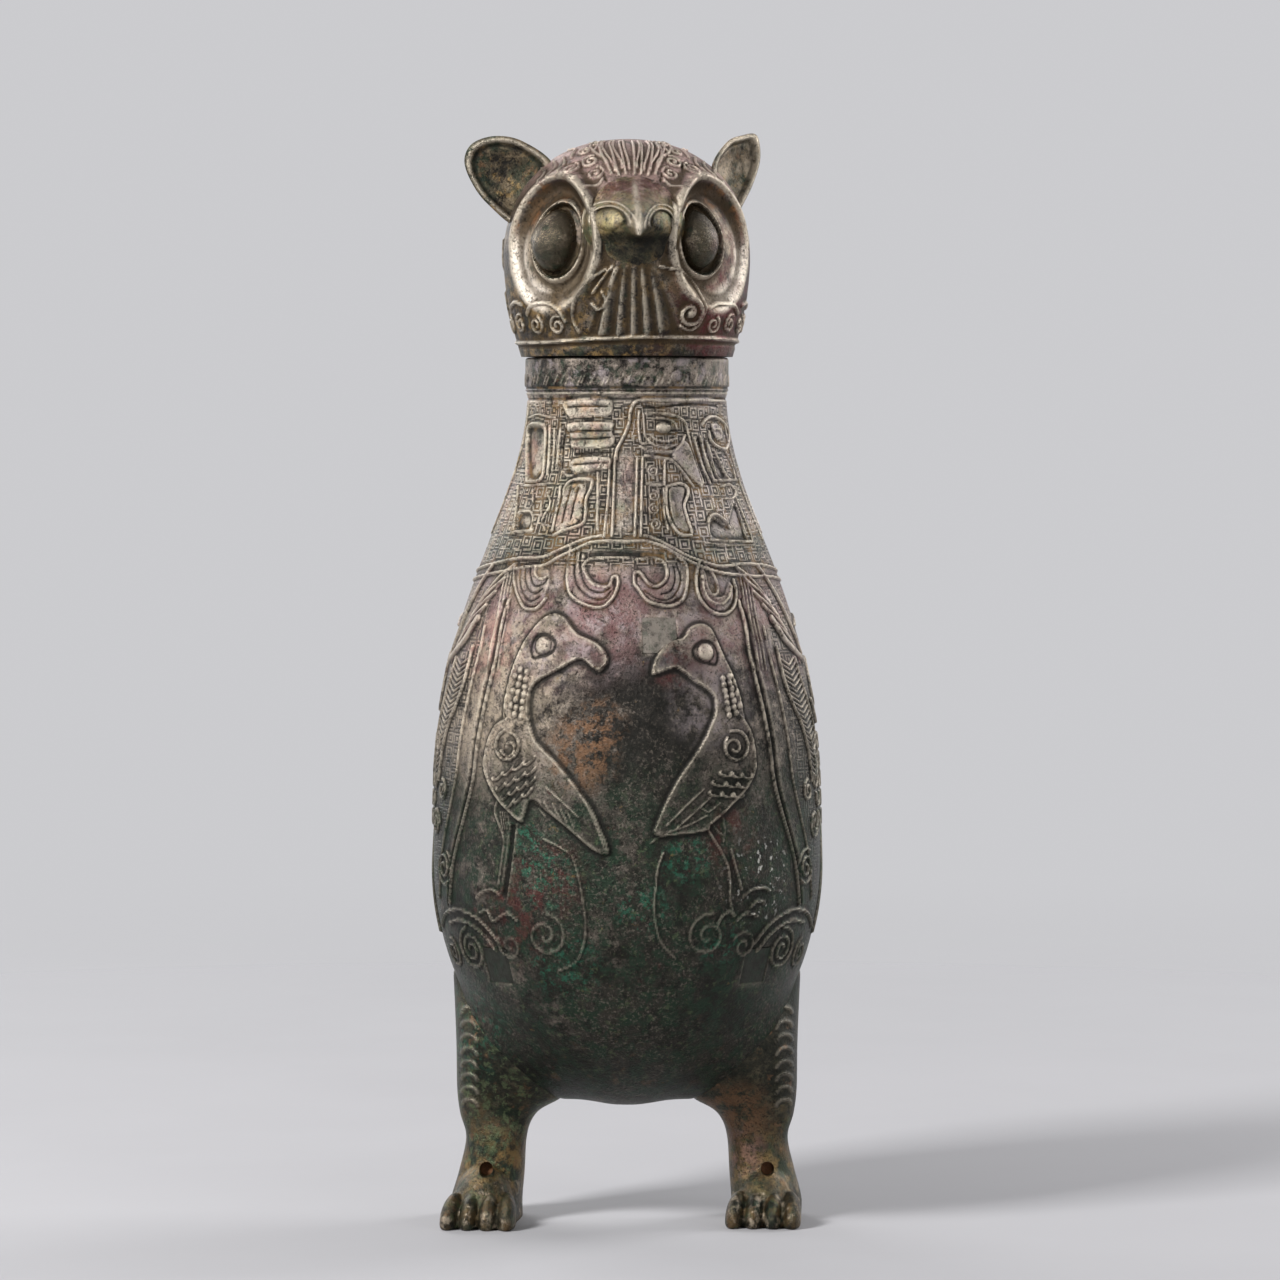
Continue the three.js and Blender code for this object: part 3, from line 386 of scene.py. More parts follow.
BAR_EDGES = [
    [(-6, 251.5), (-6, 238.5), (-6, 226)], [(-8.6, 250), (-8.6, 238.5), (-9.4, 225.5)],
    [(5.5, 250.5), (4.5, 238.5), (3.4, 226)], [(8.3, 251), (7, 238.5), (6, 226)],
]
EYE_FRAME = [
    [(-5.5, 250.5), (-5, 253.5), (-3, 256), (-0.5, 259), (1.5, 262.5), (2, 265.5), (4.5, 268.5), (9.5, 269.5),
     (20.5, 269.5), (36.5, 269.5), (52.5, 269.5), (78, 269)],
    [(46.5, 261.5), (50, 263), (56.5, 264), (66, 263), (76, 260), (75.5, 257), (66.5, 253.5), (57, 254.5),
     (52, 256.5), (51.5, 259)],
    [(38, 230), (40, 232), (44, 232.5), (48.5, 230.5), (51, 228.5)],
    [(19.5, 241.5), (18.5, 237.5), (18.5, 233), (20, 229.5), (23, 226.5), (28, 226)],
    [(19.5, 241.5), (26, 242.5), (30, 241.5), (30, 239), (27, 235.5), (27.5, 231.5), (28.5, 227)],
]
EYE_LINES = [
    [(7, 265.5), (6.5, 262), (7, 257.5), (8, 255.5), (10.5, 255.5)],
    [(11, 265), (20, 265), (29.5, 264), (34.5, 262), (36, 258), (38, 252.5), (40, 245), (40, 242.5)],
    [(7, 254.5), (12.5, 253), (18.5, 252.5), (25.5, 253), (31, 255.5), (33.5, 258)],
    [(9.5, 251.5), (16.5, 251), (24, 250), (29.5, 246), (34, 241.5)],
    [(39.5, 257), (41, 251.5), (42.5, 247), (45, 242.5)],
    [(44, 257.5), (45, 252), (46.5, 247.5), (48, 243.5)],
    [(48.5, 255.5), (50.5, 250.5), (51.5, 245.5), (53, 243.5)],
    [(53.5, 253), (56, 250), (59, 245.5), (62.5, 243.5)],
    [(65.5, 252.5), (69.5, 248), (69, 243.5)],
    [(48, 243.5), (56, 243.5), (71.5, 243.5)],
    [(52, 241.5), (61, 242), (64, 239.5), (59, 237.5), (53, 237.5)],
    [(20, 250), (18.5, 242.5)], [(18, 241), (17, 233), (18, 228)], [(10, 242.5), (18.5, 242)],
    [(62.5, 238), (64, 232.5), (65, 227.5), (64.5, 224)], [(37, 224.5), (48, 224), (64, 223.5)],
    [(71, 262), (73, 250), (75, 238), (79, 224)],
]
EYE_THIN = [
    [(9.5, 265), (9.5, 261.5), (10, 257.5)], [(13, 258), (16.5, 256.5), (22, 256), (28, 257)],
    [(14.5, 263.4), (20, 263.6), (27, 262.4), (29, 260)], [(11, 257), (14.5, 255), (21, 254), (28, 255)],
    [(30, 224), (41.5, 223), (51, 222.5), (64.5, 222.5)], [(55.5, 259.6), (60, 260), (63, 258.6)],
]
EYE_CUTS = [
    [(9.5, 267), (20, 267), (36.5, 268), (63, 267.5)], [(37, 258), (38.5, 251.5), (41, 243.5)],
    [(10, 253.5), (18, 251.8), (25, 251.2)], [(42.5, 257), (43.4, 251.5), (45, 246), (46.5, 243)],
    [(47, 256.5), (48, 251), (49.6, 245.5), (50.6, 243.5)],
]
EYE_FIELDS = [
    ([(24.5, 251.5), (30.5, 255), (33.5, 256), (36.5, 252.5), (39.5, 241.5), (34, 244), (29, 248)], 0.5),
    ([(54.5, 261.5), (61, 261.5), (65, 259), (62, 256.5), (57, 257), (55, 259)], 0.6),
    ([(21, 241), (28.4, 241), (26, 236), (26.4, 231), (27, 227.5), (23, 228), (20.6, 231), (20, 237)], 0.55),
    ([(38.5, 228.5), (41.5, 231), (45, 230), (49, 229), (60, 235.5), (60, 225.5), (58, 224.5),
      (40.5, 225)], -0.6),
    ([(50, 249.5), (52.4, 250.5), (57, 246), (58, 244.6), (52, 244.6)], -0.4),
]
PLATES = [
    ([(-37.5, 269.2), (-10.5, 269.8), (-9.5, 264.5), (-21, 264), (-33.5, 263.8)], 0.6),
    ([(-34, 261.8), (-9, 262.2), (-8, 259.5), (-8, 254.6), (-27.5, 253.8), (-31, 254.8), (-32, 258)], 0.6),
    ([(-28, 250.4), (-9, 250.8), (-9.6, 247.4), (-20, 246.6), (-28.6, 246.2)], 0.5),
    ([(-21, 241.8), (-29.6, 241.6), (-31.6, 234), (-31.6, 227.6), (-26, 228.8), (-21, 231),
      (-20.4, 236)], 0.45),
    ([(-57, 244.6), (-66, 253), (-70.5, 259.4), (-66, 260.6), (-57.5, 260.4), (-52.6, 259), (-50, 251.5),
      (-49, 245)], -0.75),
    ([(-47.6, 232.6), (-56, 232.6), (-54, 228), (-46, 228)], -0.5),
]
PLATE_FRAME = [
    [(-58.5, 243.5), (-67.5, 253), (-72.5, 259.5), (-68.5, 261.5), (-57.5, 261.5), (-51.5, 260),
     (-48.5, 251.5), (-47, 244), (-58.5, 243)],
    [(-31, 239), (-31, 241), (-29, 243), (-24.5, 244), (-20, 244), (-17, 243.5), (-17.5, 240.5), (-19, 237.5),
     (-18.5, 233), (-19, 230), (-23.5, 228.5), (-28, 227.5), (-32, 226)],
    [(-33.5, 241.5), (-33, 238.5), (-33, 233), (-33, 227.5)],
    [(-57, 226.5), (-52, 227), (-44.5, 227.5)],
]
PLATE_LINES = [
    [(-33.5, 246), (-29, 245), (-22.5, 246.5), (-15, 247), (-13, 249)],
    [(-14.5, 246), (-13.5, 238.5), (-12.5, 228)],
    [(-66.5, 241.5), (-61, 235), (-57, 227.5)], [(-62.5, 241.5), (-49.5, 242), (-40.5, 242.5)],
    [(-57.5, 233), (-48, 233), (-45, 227.5)], [(-76, 268), (-78, 255), (-82, 240), (-86, 226)],
    [(-48, 261), (-45.5, 253.5), (-43.5, 245.5)], [(-39.5, 260), (-39, 253.5), (-38, 247)],
]
PLATE_THIN = [
    [(-44, 260), (-42, 253.5), (-40.5, 246)], [(-51.5, 240.5), (-47, 234)], [(-43.5, 237), (-41, 232)],
    [(-44, 263.6), (-60, 264.6), (-74, 263.6)], [(-41, 239.6), (-37.6, 236), (-40, 231), (-37, 227.6)],
]
PLATE_CUTS = [
    [(-33, 259), (-20.5, 259.4), (-9, 259.4)], [(-31.5, 256.6), (-20, 256.8), (-9, 257.2)],
    [(-28, 252), (-19.5, 252.2), (-8, 252.6)], [(-28, 248.5), (-21, 248.9), (-10, 249.2)],
    [(-35.5, 260), (-36, 254.5), (-34.5, 247.5)], [(-35, 267), (-22, 267.4), (-11, 267.2)],
    [(-23.5, 241), (-24.6, 236), (-25, 231)], [(-27.4, 241), (-28.6, 235), (-28.8, 230)],
]
BORDERS = [
    [(-10.5, 226), (-17, 225), (-23.5, 223), (-29, 221), (-35.5, 219), (-47, 218.5), (-63.5, 216.5),
     (-90, 213.5)],
    [(-9.5, 224.3), (-15, 223.8), (-22, 221.2), (-27.5, 219.2), (-33, 216.6), (-39, 216), (-51, 214.6),
     (-69, 212.6), (-90, 210.5)],
    [(7.5, 226), (12, 225), (18, 222.5), (24.5, 219.5), (31.5, 217.5), (39, 216), (50, 216.5), (66, 216),
     (90, 213.5)],
    [(8.5, 224.3), (14.5, 222.8), (20.5, 220), (26.5, 217.4), (33, 215.2), (41.5, 213.6), (56, 212.6),
     (72, 212), (90, 210.5)],
    [(-9.5, 224.4), (0, 224.2), (8.5, 224.4)],
]
BAR = [(-5.4, 253.5), (4.6, 253), (3, 227), (-5.4, 227)]
BAR_FOOT_GROOVE = [(-14, 220), (-6, 220.4), (7.5, 220), (14, 219.6)]
BAR_SPIRALS = ((13.5, 246.6, 1), (12.8, 238.6, -1), (12.6, 234.4, 1), (12.4, 229.6, -1))
COLLAR_NICKS = 72


def turned(points, turn):
    """The same points further round the wall, by some degrees."""
    return [(turn + azimuth, z) for azimuth, z in points]


def cast_lines(turn, *groups):
    """Lines in groups, each group with its own look, turned about the axis by some degrees."""
    for lines, look in groups:
        for line in lines:
            wall.stroke(turned(line, turn), **look)


def neck_frieze():
    for turn in FRONT_AND_BACK:
        for field, height in EYE_FIELDS + PLATES:
            wall.fill(turned(field, turn), height, edge=0.5)
        wall.fill(turned(BAR, turn), -0.2, curved=False)
        cast_lines(turn, (BAR_EDGES + EYE_LINES + PLATE_LINES, PLAIN), (EYE_FRAME + PLATE_FRAME, BOLD),
                   (EYE_THIN + PLATE_THIN, THIN), (BORDERS, BOLD), (EYE_CUTS + PLATE_CUTS, CUT))
        wall.boss(turn + 20.5, 260.4, 2.7, 1.8, 0.95)
        for azimuth, z, hand in BAR_SPIRALS:
            wall.spiral(turn + azimuth, z, 1.9, 0.5, 1.5, 90, hand, **THIN)
        wall.stroke(turned(BAR_FOOT_GROOVE, turn), width=1.6, height=0.4, edge=0.9, groove=True)
    wall.ring(NECK_TOP_Z - 2.2, 0.8, 0.45, groove=True)
    wall.ring(NECK_TOP_Z - 0.4, 0.7, 0.35)
    wall.ring(NECK_TOP_Z + 1.4, 0.8, 0.35, groove=True)
    for step in range(COLLAR_NICKS):
        azimuth = step * 360 / COLLAR_NICKS + 1.6 * math.sin(step * 2.4)
        start = 274.6 + 0.5 * math.sin(step * 1.7)
        wall.stroke([(azimuth, start), (azimuth + 2.4, start + 2.6)], 0.8, 0.24, edge=0.7)


# Four hanging curls close the frieze at the front of the breast, and again at the back.
# Each is a flat hooked band with fine lines cut along it.
CURLS = [
    [(-23, 222), (-23, 216), (-22.5, 211.5), (-20.5, 207.5), (-16.5, 205), (-11.5, 203.5), (-7.5, 204),
     (-4.5, 207), (-3, 211), (-3.5, 213), (-5, 213), (-5.5, 212), (-6.5, 210), (-9, 210), (-12.5, 211),
     (-15, 213.5), (-16.5, 216), (-15.5, 218), (-12.5, 219), (-6, 219), (0.5, 219)],
    [(4, 218.5), (11, 219), (14.5, 217.5), (15.5, 214.5), (14.5, 212), (11, 210), (8, 211), (5.5, 214),
     (4, 214.5), (3, 214), (3, 211), (4.5, 209), (7.5, 205.5), (12.5, 204), (16.5, 204), (20.5, 206),
     (22.5, 210), (23.5, 214.5), (23, 217.5), (20.5, 219)],
    [(-48.5, 216.5), (-46.5, 211.5), (-43, 207), (-38.5, 203), (-34, 202.5), (-31.5, 204), (-30, 206)],
    [(29.5, 218), (27, 213), (26.5, 208), (28, 204.5), (31.5, 201.5), (36.5, 201), (41, 203.5), (43.5, 208),
     (43.5, 211.5)],
]
CURL_BANDS = [
    [(-22.6, 220), (-22, 211.5), (-20, 208), (-16, 205.6), (-11, 204.4), (-7.6, 205), (-5, 208), (-5, 211),
     (-7, 209.6), (-12, 210.4), (-15.4, 213.6), (-17, 217), (-16.6, 220)],
    [(22.4, 217), (22.6, 213), (21.6, 209.6), (19, 206.4), (12.5, 204.8), (8, 206.4), (4.4, 210.4),
     (4.4, 213), (8, 209.8), (11.4, 209), (15, 211), (16.6, 214.6), (16, 218)],
    [(-47, 215.6), (-45, 211), (-42, 207), (-38, 204), (-34, 203.6), (-30.6, 206.4), (-30, 213.6),
     (-36, 216)],
    [(29.6, 216), (28, 212), (27.8, 208), (29.4, 205), (32, 202.6), (36.4, 202.2), (40, 204.6), (42, 208.4),
     (41, 211), (37.6, 207), (34, 206.4), (31.4, 209), (31, 214)],
]
CURL_RIDGES = [
    [(29.5, 213), (29, 208.5), (31, 205), (35, 204), (39, 206), (41.5, 209.5)],
    [(31.5, 217), (34.5, 213.5), (35.5, 210), (34.5, 207.5), (32.5, 207)],
    [(-37, 215.5), (-36.5, 213.5), (-33.5, 212), (-30, 213)],
]
CURL_CUTS = [
    [(-20.5, 221.5), (-20, 214.5), (-18, 210), (-13, 206.5), (-8, 206), (-5.5, 208.5)],
    [(-18.5, 222), (-18, 217), (-16.5, 212.5), (-13.5, 209), (-9, 208), (-6, 209.5)],
    [(6.5, 208.5), (11, 206), (15.5, 206), (19, 209), (20.5, 213), (19.5, 217)],
    [(12.5, 207.5), (16, 208.5), (18, 211.5), (18.5, 214.5), (18, 216.5)],
    [(-45, 216.5), (-43.5, 211.5), (-40, 207), (-36, 205), (-32.5, 206.5)],
    [(-42.5, 216.5), (-41, 212), (-38, 208.5), (-34.5, 207.5), (-32, 209)],
    [(-39.5, 216.5), (-39, 213.5), (-36, 210), (-32, 210.5), (-30.5, 212.5)],
]


def hanging_curls():
    for turn in FRONT_AND_BACK:
        for band in CURL_BANDS:
            wall.fill(turned(band, turn), 0.4, edge=0.5)
        cast_lines(turn, (CURLS, BOLD), (CURL_RIDGES, PLAIN), (CURL_CUTS, CUT))


# A bird stands on each side of the breast with its back to the wing. The two moulds were cut by hand,
# so the birds differ a little. The owl's own right is the photograph's left.
BIRD_LINE = dict(width=0.6, height=0.6, edge=0.45)
BIRD_GROUND = 0.95
RIGHT_BACK = [(39.6, 167.5), (39.8, 171), (39.4, 175), (38.6, 181), (37.2, 186.5), (35.3, 191.5), (32.4, 196),
              (29.2, 199.4), (25, 201), (21, 199.5), (18.2, 196.4), (15.8, 194.5), (12.5, 193.2), (9, 191.4),
              (6.6, 188.7), (6.2, 186), (8.4, 183.3)]
RIGHT_BREAST = [(8.4, 183.3), (10.6, 184.6), (13, 186.6), (15.5, 187), (18, 186), (21, 184.1), (24.5, 182.3),
                (27.6, 180.6), (30, 178.3), (31, 175), (31, 171.5), (30.5, 168), (29.5, 164.5), (28, 161.5),
                (25.5, 158.6), (22.5, 156), (19, 152.2), (15.6, 148), (12.5, 143.7), (9.6, 139), (7.4, 133.5),
                (5.8, 129.6), (5.2, 126)]
LEFT_BACK = [(37.6, 168), (37, 171.5), (36, 177), (34.4, 182.5), (32.7, 186.5), (31.4, 190), (30.2, 193.4),
             (28.6, 196.6), (25.4, 197.8), (21.6, 196.6), (19, 193.6), (15.5, 192.6), (12.5, 191), (9.9, 188),
             (8.5, 184.8), (8.3, 182.4)]
LEFT_BREAST = [(8.3, 182.4), (11, 183.2), (13.5, 184.1), (16, 184.3), (19, 182.3), (21.6, 179.9),
               (24.6, 178.1), (27.2, 175.8), (28, 173), (27.5, 169.6), (26, 166.2), (24, 162.4),
               (21.8, 158.7), (19.2, 155), (16.5, 151.2), (14.2, 147.4), (12, 143), (10, 138.3), (8, 132.5)]
RIGHT_TAIL_EDGE = [(28.5, 142.4), (23, 138.6), (17.5, 134.2), (9.5, 127)]
LEFT_TAIL_EDGE = [(24, 133), (19, 132), (15, 131.8), (10, 131.2)]


def on_side(side, lean=0):
    """A function that sets points of azimuth and height on the owl's left (1) or its right (-1)."""
    return lambda *points: [(side * (azimuth + lean), z) for azimuth, z in points]


def bird(side, back, breast, eye, wing, wing_edge, tail_edge):
    at = on_side(side)
    body = [*back[::-1][:-1], *wing_edge, *tail_edge, *breast[::-1][:-1]]
    wall.fill(at(*body), BIRD_GROUND, edge=0.6)
    wall.stroke(at(*back), **BIRD_LINE)
    wall.stroke(at(*breast), **BIRD_LINE)
    wall.stroke(at(*wing_edge), width=0.9, height=0.8, edge=0.6)
    azimuth, z = eye
    ring = [(azimuth + across, z + up) for across, up in
            ((0, 3.6), (3.4, 2.6), (4.6, -0.6), (3.4, -3.8), (0.4, -3.4), (-3.2, -2), (-3.8, 1.2), (0, 3.6))]
    wall.stroke(at(*ring), width=0.9, height=0.45, edge=0.9, groove=True)
    wall.boss(side * (azimuth + 0.2), z, 2.7, 2.9, 1.1)
    azimuth, z = wing
    wall.spiral(side * azimuth, z, 5.0, 4.2, 0.92, 110, -side, width=0.7, height=0.8, edge=0.5)
    wall.spiral(side * (azimuth - 0.6), z - 0.6, 3.4, 0.9, 0.95, 200, -side, width=0.7, height=0.7, edge=0.5)


def bird_feathers(side, neck, scales, tail):
    at = on_side(side)
    (top_azimuth, top), (foot_azimuth, foot) = neck
    for row in range(7):
        share = row / 6
        azimuth = top_azimuth + (foot_azimuth - top_azimuth) * share
        z = top + (foot - top) * share
        for place in (-1, 0, 1) if row % 2 else (-1, 0.2):
            wall.boss(side * (azimuth + 2.1 * place), z + 0.5 * place, 1.0, 1.15, 0.65)
    for row, (start, end, count) in enumerate(scales):
        for step in range(count):
            a, b = [(start[0] + (end[0] - start[0]) * share, start[1] + (end[1] - start[1]) * share)
                    for share in (step / count, (step + 1) / count)]
            middle = ((a[0] + b[0]) / 2 + 0.4, (a[1] + b[1]) / 2 - 1.5)
            wall.stroke(at(a, (a[0] - 0.3, a[1] - 0.8), middle, (b[0] + 0.5, b[1] - 0.8), b), 0.6, 0.75, 0.5)
    for line in tail:
        wall.stroke(at(*line), **THIN)


def breast_birds():
    bird(-1, RIGHT_BACK, RIGHT_BREAST, (27.4, 191), (37, 159.2),
         [(38.6, 167.4), (42, 165.6), (44.4, 161.5), (45.6, 157), (46, 152.5), (44.6, 148.6), (42.4, 145),
          (39.6, 141.6), (36, 138.4), (31.6, 135.4)], RIGHT_TAIL_EDGE)
    bird(1, LEFT_BACK, LEFT_BREAST, (25.6, 188.9), (33.6, 159.2),
         [(36.8, 168.2), (39.2, 164), (40.4, 158), (40.4, 152), (38.6, 148), (35.6, 144.2), (32, 141),
          (28.8, 138), (25, 135)], LEFT_TAIL_EDGE)
    bird_feathers(-1, ((34.5, 183), (35, 169)),
                  [((42, 148.8), (27.4, 156), 4), ((40.6, 145.6), (27, 152.6), 4),
                   ((38.6, 142.8), (27, 149.4), 4), ((37, 140), (28, 146), 3)],
                  [RIGHT_TAIL_EDGE,
                   [(23.5, 146.4), (18.6, 142), (13.5, 137.2)],
                   [(15, 147.6), (11.8, 142), (8.6, 134.6), (6.4, 128.4)],
                   [(26, 139.6), (24, 137.2)], [(24, 141.6), (21.5, 138)], [(21.5, 141.4), (19.4, 137.2)],
                   [(19, 139.6), (17, 135.6)], [(16.6, 138), (15, 134)],
                   [(9.6, 127.2), (6.4, 125.4), (5.2, 126)]])
    bird_feathers(1, ((33, 181), (34, 169.5)),
                  [((28, 151.4), (38.6, 150), 3), ((25.6, 148.4), (37.6, 147), 3),
                   ((24.6, 145.2), (35.6, 144), 3)],
                  [[*LEFT_TAIL_EDGE, (6.8, 129)],
                   [(25, 143.6), (20, 139), (14.6, 134)], [(22.6, 146), (17, 140.6), (11.4, 134.6)],
                   [(23.5, 137.6), (17.6, 134.6), (12, 132.6)], [(27.6, 141.4), (24, 138.8), (22, 139.8)],
                   [(25, 135.4), (27.6, 132), (29.6, 131)], [(28.6, 138), (29.4, 133.6), (29.2, 129)]])
    for points in ([(-40.6, 142), (-41.6, 138), (-40.2, 134.4), (-38.6, 131), (-38.2, 127.4), (-39.4, 120),
                    (-40.4, 113.6)],
                   [(-33.4, 134), (-34.2, 128.6), (-35, 122.4), (-36, 115.6), (-37.2, 109.6)]):
        wall.stroke(points, width=0.6, height=0.5, edge=0.5)
    wall.stroke([(-34.8, 133), (-35.6, 126), (-36.6, 119), (-38, 111.5)], width=2.0, height=0.8, edge=1.0,
                groove=True)
    for start in range(4):
        wall.stroke([(-39.6 + start * 0.9, 138), (-38.6 + start * 0.9, 132.6)], **THIN)
    for points in ([(24, 133), (26.2, 129.4), (28.6, 125.4), (30.6, 121), (31.4, 115.6), (31.4, 111),
                    (32.4, 107)],
                   [(31.6, 126.6), (33.4, 120), (35.4, 113.4)]):
        wall.stroke(points, width=0.7, height=0.6, edge=0.5)
    claws = {-1: [[(49.6, 110), (46.4, 112), (42.6, 112.8), (40, 111.4)],
                  [(48.6, 105), (45.4, 106), (43.4, 102.6), (40.4, 104.2), (37, 105.6), (34, 103.4)]],
             1: [[(36, 111), (39, 113), (43.6, 113.4), (46.4, 112.2)],
                 [(39, 107.4), (41.4, 109.4), (44.4, 108.6)],
                 [(34.4, 103.6), (37.6, 105.6), (42, 104.4)]]}
    for side, lines in claws.items():
        for line in lines:
            wall.stroke(on_side(side)(*line), width=0.8, height=0.8, edge=0.6)
    wall.stroke([(-24.5, 130), (-18.5, 127), (-15.5, 124), (-13.5, 116.5), (-12.5, 109.5), (-12, 102.5),
                 (-13, 96), (-16, 90.5), (-22, 87.5)], **BIRD_LINE)
    wall.stroke([(10.6, 126), (9, 121), (8.5, 115.5), (8, 109.5), (8.5, 103.5), (10.5, 97), (15, 92)],
                **BIRD_LINE)
    wall.stroke([(27.5, 101.5), (29, 105), (31.5, 106.5), (33.4, 105)], width=0.9, height=0.7)
    for side in (1, -1):
        wall.spiral(side * 25, 99, 7.5, 1.2, 1.6, 80, side, width=0.9, height=0.45, edge=0.7)
        wall.spiral(side * 38, 95, 5.0, 1.0, 1.4, 150, -side, width=0.8, height=0.4, edge=0.7)


# A wing folds round each side of the belly: a plain band down its front edge, a big spiral at the shoulder,
# then long feathers that sweep to the back. The photograph shows its front part.
WING_FRONT = [(43.5, 205), (44, 200), (44, 195.5), (43.6, 188.5), (44.2, 181.5), (45.2, 174.5),
              (46.2, 167.6), (47.4, 158.5), (48.2, 149), (50, 142), (52.8, 134.5), (56, 127), (58.4, 121),
              (60.4, 113.6), (62.4, 106.6)]
PINIONS = 6


def wing(side, lean):
    at = on_side(side, lean)
    upright = on_side(side)
    wall.stroke(at(*WING_FRONT), width=0.8, height=0.8, edge=0.5)
    wall.stroke(at(*turned(WING_FRONT, 2.0)), width=1.3, height=0.8, edge=0.7, groove=True)
    wall.stroke(at(*[(azimuth + 9.5, z + 1) for azimuth, z in WING_FRONT[2:]]), width=0.7, height=0.6,
                edge=0.5)
    for i in range(5):
        start, end = (45.5 + 3.6 * i, 216.5 - 4.4 * i), (62 + 3.4 * i, 204 - 4.6 * i)
        wall.stroke(at(start, ((start[0] + end[0]) / 2, (start[1] + end[1]) / 2 + 1.4), end), 1.0, 0.7)
        wall.stroke(at((start[0] + 1.4, start[1] - 1.4), (end[0] + 0.4, end[1] - 1.8)), 0.7, 0.4)
    wall.stroke(at((61, 216), (68, 208), (74, 198), (80, 187)), 1.3, 0.8)
    wall.stroke(at((59.6, 199), (62.6, 195), (66, 191.4), (74, 187), (80.5, 184.8)), 2.2, 1.0, 1.0)
    wall.stroke(at((58, 190), (59, 179), (62.5, 170.5), (66, 165.5), (70, 156), (72, 146)), 1.0, 0.8)
    wall.stroke(at((70, 186), (72, 178), (76, 170), (80, 160), (83, 148)), 1.0, 0.8)
    for i in range(22):
        z = 186 - 1.75 * i
        left = np.interp(-z, [-190, -179, -170, -156, -146], [58, 59, 62.5, 70, 72]) + 0.8
        right = np.interp(-z, [-186, -178, -170, -160, -148], [70, 72, 76, 80, 83]) - 0.8
        middle = (left + right) / 2
        wall.stroke(at((left, z), (middle, z - 2.2), (right, z)), 0.6, 0.5, 0.5, curved=False)
    wall.spiral(side * (92 + lean), 176, 13, 2.4, 1.75, 200, side, width=2.2, height=0.9, edge=0.6)
    wall.spiral(side * (92 + lean), 176, 10.4, 3, 1.2, 215, side, width=0.7, height=0.45, edge=0.5)
    wall.stroke(at((83, 196), (92, 199), (101, 197), (109, 190), (114, 180)), 1.2, 0.8)
    for row in range(5):
        for step in range(6 - row % 2):
            azimuth = 76 + 5.4 * step + 2.7 * (row % 2)
            z = 158 - 6.2 * row
            wall.stroke(at((azimuth - 2.4, z + 2.4), (azimuth - 1.9, z - 0.6), (azimuth, z - 2.2),
                           (azimuth + 1.9, z - 0.6), (azimuth + 2.4, z + 2.4)), 0.9, 0.7)
            wall.stroke(at((azimuth, z + 1.6), (azimuth, z - 0.4)), 0.7, 0.5)
    for i in range(PINIONS):
        start = (104 + 7.2 * i, 190 - 4.5 * i)
        end = (82 + 15.5 * i, 96 + 1.2 * i)
        bend = ((start[0] + end[0]) / 2 + 7, (start[1] + end[1]) / 2 + 5)
        wall.stroke(at(start, bend, end), 1.3, 0.9)
        rib = [(azimuth + 3.6, z + 1) for azimuth, z in (start, bend, end)]
        wall.stroke(at(*rib), 0.7, 0.5)
        for place in np.array(flowing(rib, 9))[2:-1]:
            for leaning in (-1, 1):
                wall.stroke(at(tuple(place), (place[0] + 2.4 * leaning, place[1] - 2.2)), 0.55, 0.4, 0.5)
    wall.spiral(side * (66 + lean), 118, 6.5, 1.0, 2.1, 60, side, width=0.8, height=0.7, edge=0.5)
    wall.spiral(side * (74 + lean), 132, 5.0, 1.0, 1.8, 0, -side, width=0.8, height=0.7, edge=0.5)
    wall.spiral(side * (68 + lean), 143, 3.6, 0.9, 1.4, 90, side, width=1.0, height=0.7, edge=0.6)
    for points in ([(42, 95.4), (45.4, 99.4), (49, 102.2), (54, 104.2), (61, 105), (70, 103), (78, 98)],
                   [(44, 93), (47.4, 97), (51.4, 99.6), (56, 101.2), (61, 101.6), (68, 100)]):
        wall.stroke(upright(*points), width=0.9, height=0.8, edge=0.6)
    wall.spiral(side * 56, 92.5, 7.4, 1.2, 2.2, 100, -side, width=0.8, height=0.7, edge=0.6)
    wall.spiral(side * 70, 90, 5.4, 1.0, 1.8, 100, side, width=0.8, height=0.6, edge=0.6)
    for across in range(4):
        line = [(47.6, 214), (47, 208), (45.6, 199.5), (45.4, 190.5), (45, 183)]
        wall.stroke(upright(*turned(line, 1.7 * across)), **THIN)


def back_feathers():
    for row in range(11):
        z = 202 - 8.6 * row
        count = 3 if row % 2 else 4
        for step in range(count):
            azimuth = 180 + (step - (count - 1) / 2) * 10.5
            wall.stroke([(azimuth - 4.8, z + 4), (azimuth - 4.2, z - 1), (azimuth, z - 4.4),
                         (azimuth + 4.2, z - 1), (azimuth + 4.8, z + 4)], 1.0, 0.75)
            wall.stroke([(azimuth, z + 2.6), (azimuth, z - 2)], 0.8, 0.5)


CHAPLET_SIDE = 11.0
CHAPLET_DIP = 0.45
CHAPLET_PLACES = [(45, 88.0), (11, 194.6)]
CHAPLETS_PER_ROW = 4


def chaplet_beds():
    """The squares where bronze spacers, which held the mould's core, show in the wall."""
    for first, z in CHAPLET_PLACES:
        for place in range(CHAPLETS_PER_ROW):
            azimuth = first + 360 / CHAPLETS_PER_ROW * place
            rows, columns, azimuths = wall.block(wall.on_wall([(azimuth, z)]), CHAPLET_SIDE)
            radius = float(vessel_radius(z))
            across = np.abs(np.radians(azimuths - azimuth) * radius)[None, :]
            up = np.abs(wall.z[rows] - z)[:, None]
            bed = (across < CHAPLET_SIDE / 2 + 0.1) & (up < CHAPLET_SIDE / 2 + 0.1)
            cells = np.ix_(rows, columns)
            bare = (wall.lines[cells] < 0.1) & (wall.ground[cells] < 0.3)
            wall.ground[cells] = np.where(bed & bare, -CHAPLET_DIP, wall.ground[cells])


